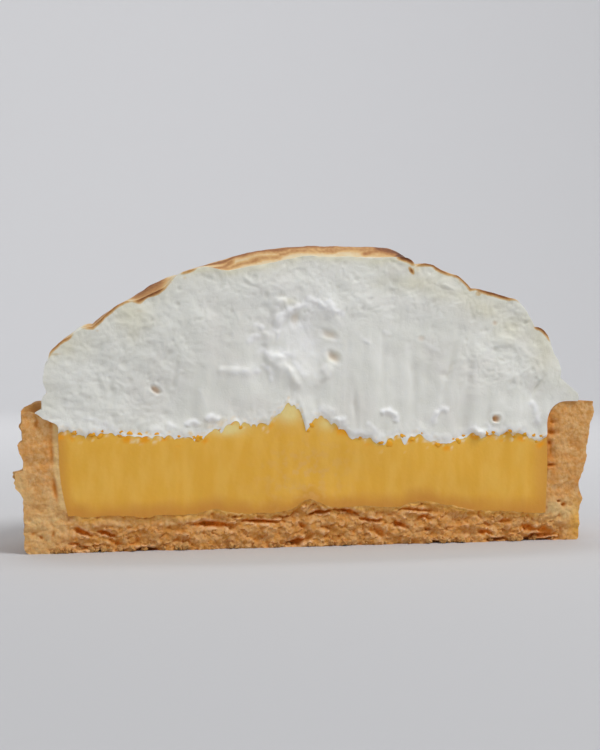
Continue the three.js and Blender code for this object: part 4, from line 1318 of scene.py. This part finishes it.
# %% Wires
class Wire:
    """An output socket of a material that can be written into sums."""

    def __init__(self, tree, socket=None):
        self.tree = tree
        self.socket = socket

    def node(self, kind, settings=None, sockets=None, out=0):
        """Any node: its type, its settings, then a value or a wire for each named socket."""
        made = self.tree.nodes.new("ShaderNode" + kind)
        for name, value in (settings or {}).items():
            if name == "stops":
                self.fill_ramp(made.color_ramp, value)
            else:
                setattr(made, name, value)
        for name, value in (sockets or {}).items():
            if isinstance(value, Wire):
                self.tree.links.new(value.socket, made.inputs[name])
            else:
                made.inputs[name].default_value = value
        return Wire(self.tree, made.outputs[out])

    @staticmethod
    def fill_ramp(ramp, stops):
        while len(ramp.elements) < len(stops):
            ramp.elements.new(1.0)
        for element, (place, colour) in zip(ramp.elements, stops):
            element.position = place
            element.color = (*colour, 1)

    def sum_of(self, operation, left, right):
        return self.node("Math", {"operation": operation}, {0: left, 1: right})

    def __add__(self, other):
        return self.sum_of("ADD", self, other)

    def __sub__(self, other):
        return self.sum_of("SUBTRACT", self, other)

    def __rsub__(self, other):
        return self.sum_of("SUBTRACT", other, self)

    def __mul__(self, other):
        return self.sum_of("MULTIPLY", self, other)

    __radd__ = __add__
    __rmul__ = __mul__

    def limited(self):
        return self.node("Clamp", None, {"Value": self})

    def between(self, low, high):
        """0 below low, 1 above high, smooth on the way."""
        sockets = {"Value": self, "From Min": low, "From Max": high}
        return self.node("MapRange", {"interpolation_type": "SMOOTHSTEP"}, sockets)


def colour(red, green, blue):
    return (red, green, blue, 1.0)


class Finish:
    """One material under construction."""

    def __init__(self, name):
        self.material = bpy.data.materials.new(name)
        self.material.use_nodes = True
        self.tree = self.material.node_tree
        self.shader = self.tree.nodes["Principled BSDF"]
        self.start = Wire(self.tree)
        coordinates = self.start.node("TexCoord", out="Object")
        sockets = {0: coordinates, "Scale": 1000.0}      # from metres to millimetres
        self.place = self.start.node("VectorMath", {"operation": "SCALE"}, sockets)

    def mask(self, name):
        return self.start.node("Attribute", {"attribute_name": name}, out="Fac")

    def noise(self, size, detail=2.0, stretch=(1, 1, 1)):
        """Uneven field around 0.5 whose spots are about size millimetres."""
        place = self.start.node("VectorMath", {"operation": "MULTIPLY"}, {0: self.place, 1: stretch})
        return self.start.node("TexNoise", None, {"Vector": place, "Scale": 1.0 / size, "Detail": detail})

    def blend(self, share, first, second):
        return self.start.node("Mix", {"data_type": "RGBA"}, {0: share, 6: first, 7: second}, out=2)

    def coats(self, base, *layers):
        """Lay colours over a base in turn; each layer is (share, colour)."""
        for share, tint in layers:
            base = self.blend(share, base, tint)
        return base

    def bump(self, height, depth):
        """Fine relief: height from 0 to 1 becomes depth in millimetres."""
        return self.start.node("Bump", None, {"Height": height, "Strength": 1.0, "Distance": depth * MM})

    def set(self, **sockets):
        for name, value in sockets.items():
            target = self.shader.inputs[name.replace("_", " ")]
            if isinstance(value, Wire):
                self.tree.links.new(value.socket, target)
            else:
                target.default_value = value

    def wear(self, *pieces):
        for piece in pieces:
            piece.data.materials.clear()
            piece.data.materials.append(self.material)


# %% [markdown]
# ## Foam and toast
# Meringue is white because light bounces around inside its bubbles, which is what subsurface
# scattering does. A flame first dries it to cream, then caramelises it through orange and brown to
# nearly black. One ramp holds that whole range, and the toast mask picks the place on it.

# %% Foam material
foam = Finish("toasted foam")
toast = foam.mask("toast")
fine_toast = (toast + (foam.noise(0.5, 3) - 0.5) * 0.3 * toast.between(0.05, 0.4)).limited()
fresh = foam.coats(
    colour(0.85, 0.852, 0.79),
    (foam.noise(3.0, 3).between(0.3, 0.7), colour(0.90, 0.90, 0.845)),
    (foam.noise(6.0, 2).between(0.45, 0.7) * 0.35, colour(0.80, 0.77, 0.72)),
    # painted shade on the left of the cut face
    (foam.mask("dull") * 0.3, colour(0.74, 0.745, 0.70)),
    (foam.mask("creamy") * 0.75, colour(0.80, 0.765, 0.58)),
    (foam.mask("stirred") * 0.85, colour(0.93, 0.58, 0.13)),
    # painted highlight on tufts, curls and the fringe, and painted light in the torn hollow
    (foam.mask("fluffy") * 0.85, colour(0.97, 0.97, 0.945)),
    # painted shade: recesses of the cut darkened to a warm grey
    (foam.mask("hollow").between(0.45, 0.95) * 0.4, colour(0.70, 0.68, 0.58)),
    (foam.mask("bubble") * 0.9, colour(0.76, 0.38, 0.11)),
)
browned = fine_toast.node("ValToRGB", {"stops": (
    (0.0, (0.86, 0.84, 0.76)), (0.14, (0.76, 0.64, 0.42)), (0.32, (0.70, 0.435, 0.18)),
    (0.55, (0.48, 0.225, 0.07)), (0.78, (0.28, 0.10, 0.026)), (1.0, (0.11, 0.036, 0.012)),
)}, {"Fac": fine_toast})
foam.set(Base_Color=foam.blend(toast.between(0.03, 0.16), fresh, browned))
foam.set(Roughness=0.62 - 0.22 * foam.mask("wet"))
foam.set(Normal=foam.bump(foam.noise(0.22, 3), 0.035))
foam.set(Subsurface_Weight=0.35, Subsurface_Radius=(1.0, 0.95, 0.85))
foam.set(Subsurface_Scale=0.0004, IOR=1.4)
foam.wear(meringue)

# %% [markdown]
# ## Curd
# Curd lets light in a little and shines softly. It is a deeper orange towards the pastry's floor and
# wall and palest where foam was stirred into its peaks.

# %% Curd material
gel = Finish("lemon curd")
body = gel.coats(
    colour(0.89, 0.49, 0.055),
    (gel.noise(2.2, 3, (1, 1, 0.35)).between(0.35, 0.7), colour(0.94, 0.55, 0.09)),
    (gel.mask("top") * 0.6, colour(0.97, 0.55, 0.08)),
    (gel.mask("low") * 0.85, colour(0.70, 0.30, 0.045)),
    (gel.mask("rim") * 0.75, colour(0.74, 0.34, 0.05)),
    (gel.mask("lumpy") * gel.noise(1.1, 2).between(0.45, 0.65) * 0.6, colour(0.88, 0.52, 0.16)),
    (gel.mask("pale") * 0.85, colour(0.97, 0.80, 0.36)),
    (gel.mask("bead") * 0.9, colour(1.0, 0.40, 0.0)),
    (gel.mask("foamy") * 0.75, colour(1.0, 0.80, 0.52)),
)
gel.set(Base_Color=body, Roughness=0.36 + 0.12 * gel.noise(0.8, 2))
gel.set(Normal=gel.bump(gel.noise(0.5, 3), 0.03))
gel.set(Subsurface_Weight=0.4, Subsurface_Radius=(1.0, 0.7, 0.35))
gel.set(Subsurface_Scale=0.0003, IOR=1.4)
gel.wear(curd, curd_drops)

# %% [markdown]
# ## Pastry
# Shortcrust is pale and sandy on a fresh break. The pinkish pale on the proudest crumbs is a
# painted highlight, and the saturated orange brown deep in the cracks and hollows is painted shade,
# for light that gets out of a crack has bounced off many crumbs. Its baked outside is more even
# and a shade browner.

# %% Pastry material
pastry = Finish("shortcrust")
crumb_tone = 0.6 * pastry.noise(0.5, 3) + 0.4 * pastry.mask("tone")
broken = pastry.coats(
    colour(0.68, 0.325, 0.082),
    (crumb_tone.between(0.35, 0.65), colour(0.81, 0.495, 0.215)),
    (pastry.noise(1.6, 3).between(0.45, 0.65) * 0.5, colour(0.72, 0.30, 0.06)),
    (pastry.mask("cream") * 0.75, colour(0.84, 0.585, 0.26)),
    (pastry.mask("torn") * 0.42, colour(0.65, 0.26, 0.035)),
    # painted shade in the groove and pits, and the right wall's own deeper tone
    (pastry.mask("orange") * 0.9, colour(0.62, 0.22, 0.025)),
    (pastry.mask("golden") * 0.6, colour(0.92, 0.48, 0.06)),
    # painted shade: hollows of the cut darkened to a deep orange
    (pastry.mask("hollow").between(0.5, 0.9) * 0.85, colour(0.66, 0.22, 0.015)),
    # painted highlight: proud crumbs lightened to a pale pink
    ((1 - pastry.mask("hollow")).between(0.52, 0.88) * 0.6, colour(0.91, 0.57, 0.325)),
    # painted shade deep in the cracks
    (pastry.mask("deep") * 0.85, colour(0.74, 0.22, 0.008)),
)
baked = pastry.coats(
    colour(0.60, 0.29, 0.08),
    (pastry.noise(7.0, 3).between(0.3, 0.7), colour(0.66, 0.36, 0.12)),
    (pastry.noise(1.1, 4).between(0.4, 0.7) * 0.5, colour(0.52, 0.22, 0.05)),
    (pastry.noise(0.5, 3).between(0.52, 0.7) * 0.45, colour(0.74, 0.44, 0.18)),
)
pastry_colour = pastry.coats(
    baked,
    (pastry.mask("cut"), broken),
    (pastry.mask("rim") * 0.55, colour(0.42, 0.16, 0.035)),
    # painted shadow in the foot gaps of the cut, and a singed spot at the rim's left end
    (pastry.mask("singed") * 0.8, colour(0.22, 0.06, 0.02)),
)
pastry.set(Base_Color=pastry_colour, Roughness=0.82, IOR=1.4)
pastry.set(Normal=pastry.bump(pastry.noise(0.3, 3) + 1.5 * pastry.noise(1.3, 3), 0.1))
pastry.set(Subsurface_Weight=0.15, Subsurface_Radius=(1.0, 0.5, 0.2), Subsurface_Scale=0.0004)
pastry.wear(crust, foot_crumbs)

# %% [markdown]
# ## The stage
# A pale floor that bends up into the backdrop has no edge to catch the eye. Turned all round, it
# stays behind the tartlet from every side.

# %% Stage
def plain_material(name, colour, roughness):
    material = bpy.data.materials.new(name)
    material.use_nodes = True
    shader = material.node_tree.nodes["Principled BSDF"]
    shader.inputs["Base Color"].default_value = (*colour, 1)
    shader.inputs["Roughness"].default_value = roughness
    return material


COVE_FLAT, COVE_BEND, COVE_TOP = 700.0, 450.0, 560.0     # flat radius, bend radius, height


def cove(name):
    """A pale floor that curves up all round, far enough away to stay behind every view."""
    angle = np.linspace(0, 2 * np.pi, 96, endpoint=False)
    rings = [(r, 0.0) for r in (200.0, 450.0, COVE_FLAT)]
    for bend in np.linspace(0.1, np.pi / 2, 14):
        rings.append((COVE_FLAT + COVE_BEND * np.sin(bend), COVE_BEND - COVE_BEND * np.cos(bend)))
    rings.append((COVE_FLAT + COVE_BEND, COVE_TOP))
    body = np.stack([in_place(r + 0 * angle, z + 0 * angle, angle) for r, z in rings])
    rows, n = body.shape[:2]
    here = np.arange(rows * n).reshape(rows, n)
    beside = np.roll(here, -1, axis=1)
    sides = np.stack([here[:-1], here[1:], beside[1:], beside[:-1]], axis=-1).reshape(-1, 4).tolist()
    middle = [[rows * n, a, b] for a, b in zip(here[0], beside[0])]
    piece = new_object(name, np.concatenate([body.reshape(-1, 3), [[0, 0, 0]]]), sides + middle)
    for polygon in piece.data.polygons:
        polygon.use_smooth = True
    return piece


floor = cove("cove")
floor.data.materials.append(plain_material("pale_floor", (0.58, 0.58, 0.594), 0.9))

# %% [markdown]
# ## Light and camera
# One large soft lamp from above on the right and a weak one from the front left show the relief
# without hard shadows, and a third lights the backdrop. The camera stands level, a little to the
# left.

# %% Light and camera
LIGHTS = (   # name, place and target in metres, size across in metres, power in watts
    ("key", (0.32, -0.3, 0.62), (0, 0, 0.02), 0.3, 2.88),
    ("fill", (-0.5, -0.55, 0.3), (0, 0, 0.02), 0.5, 0.52),
    ("backdrop", (0, 0.3, 0.75), (0, 1.15, 0.2), 0.6, 5.0),
)
SKY_COLOUR, SKY_STRENGTH = (0.97, 0.98, 1.0, 1), 0.42


def area_light(name, place, target, size, power):
    data = bpy.data.lights.new(name, "AREA")
    data.shape = "DISK"
    data.size = size
    data.energy = power
    light = bpy.data.objects.new(name, data)
    light.location = place
    light.rotation_euler = (Vector(target) - Vector(place)).to_track_quat("-Z", "Y").to_euler()
    bpy.context.scene.collection.objects.link(light)


for lamp in LIGHTS:
    area_light(*lamp)

world = bpy.data.worlds.new("studio")
world.use_nodes = True
sky = world.node_tree.nodes["Background"]
sky.inputs["Color"].default_value = SKY_COLOUR
sky.inputs["Strength"].default_value = SKY_STRENGTH
bpy.context.scene.world = world
bpy.context.scene.view_settings.view_transform = "Standard"

CAMERA_AZIMUTH = math.radians(-12)
CAMERA_DISTANCE = 185.0
CAMERA_HEIGHT = 23.7
AIM_X = -2.3
FOCAL_PIXELS, FRAME_LONG_SIDE, SENSOR = 1345.0, 750.0, 36.0

camera_data = bpy.data.cameras.new("camera")
camera_data.sensor_width = SENSOR
camera_data.lens = FOCAL_PIXELS / FRAME_LONG_SIDE * SENSOR
camera_data.clip_start = 0.01
camera = bpy.data.objects.new("camera", camera_data)
camera.location = (
    (AIM_X - MIDDLE_X + CAMERA_DISTANCE * math.sin(CAMERA_AZIMUTH)) * MM,
    (-MIDDLE_Y - CAMERA_DISTANCE * math.cos(CAMERA_AZIMUTH)) * MM,
    CAMERA_HEIGHT * MM,
)
camera.rotation_euler = (math.pi / 2, 0, CAMERA_AZIMUTH)
bpy.context.scene.collection.objects.link(camera)
bpy.context.scene.camera = camera
print("lens:", round(camera_data.lens, 1), "mm")
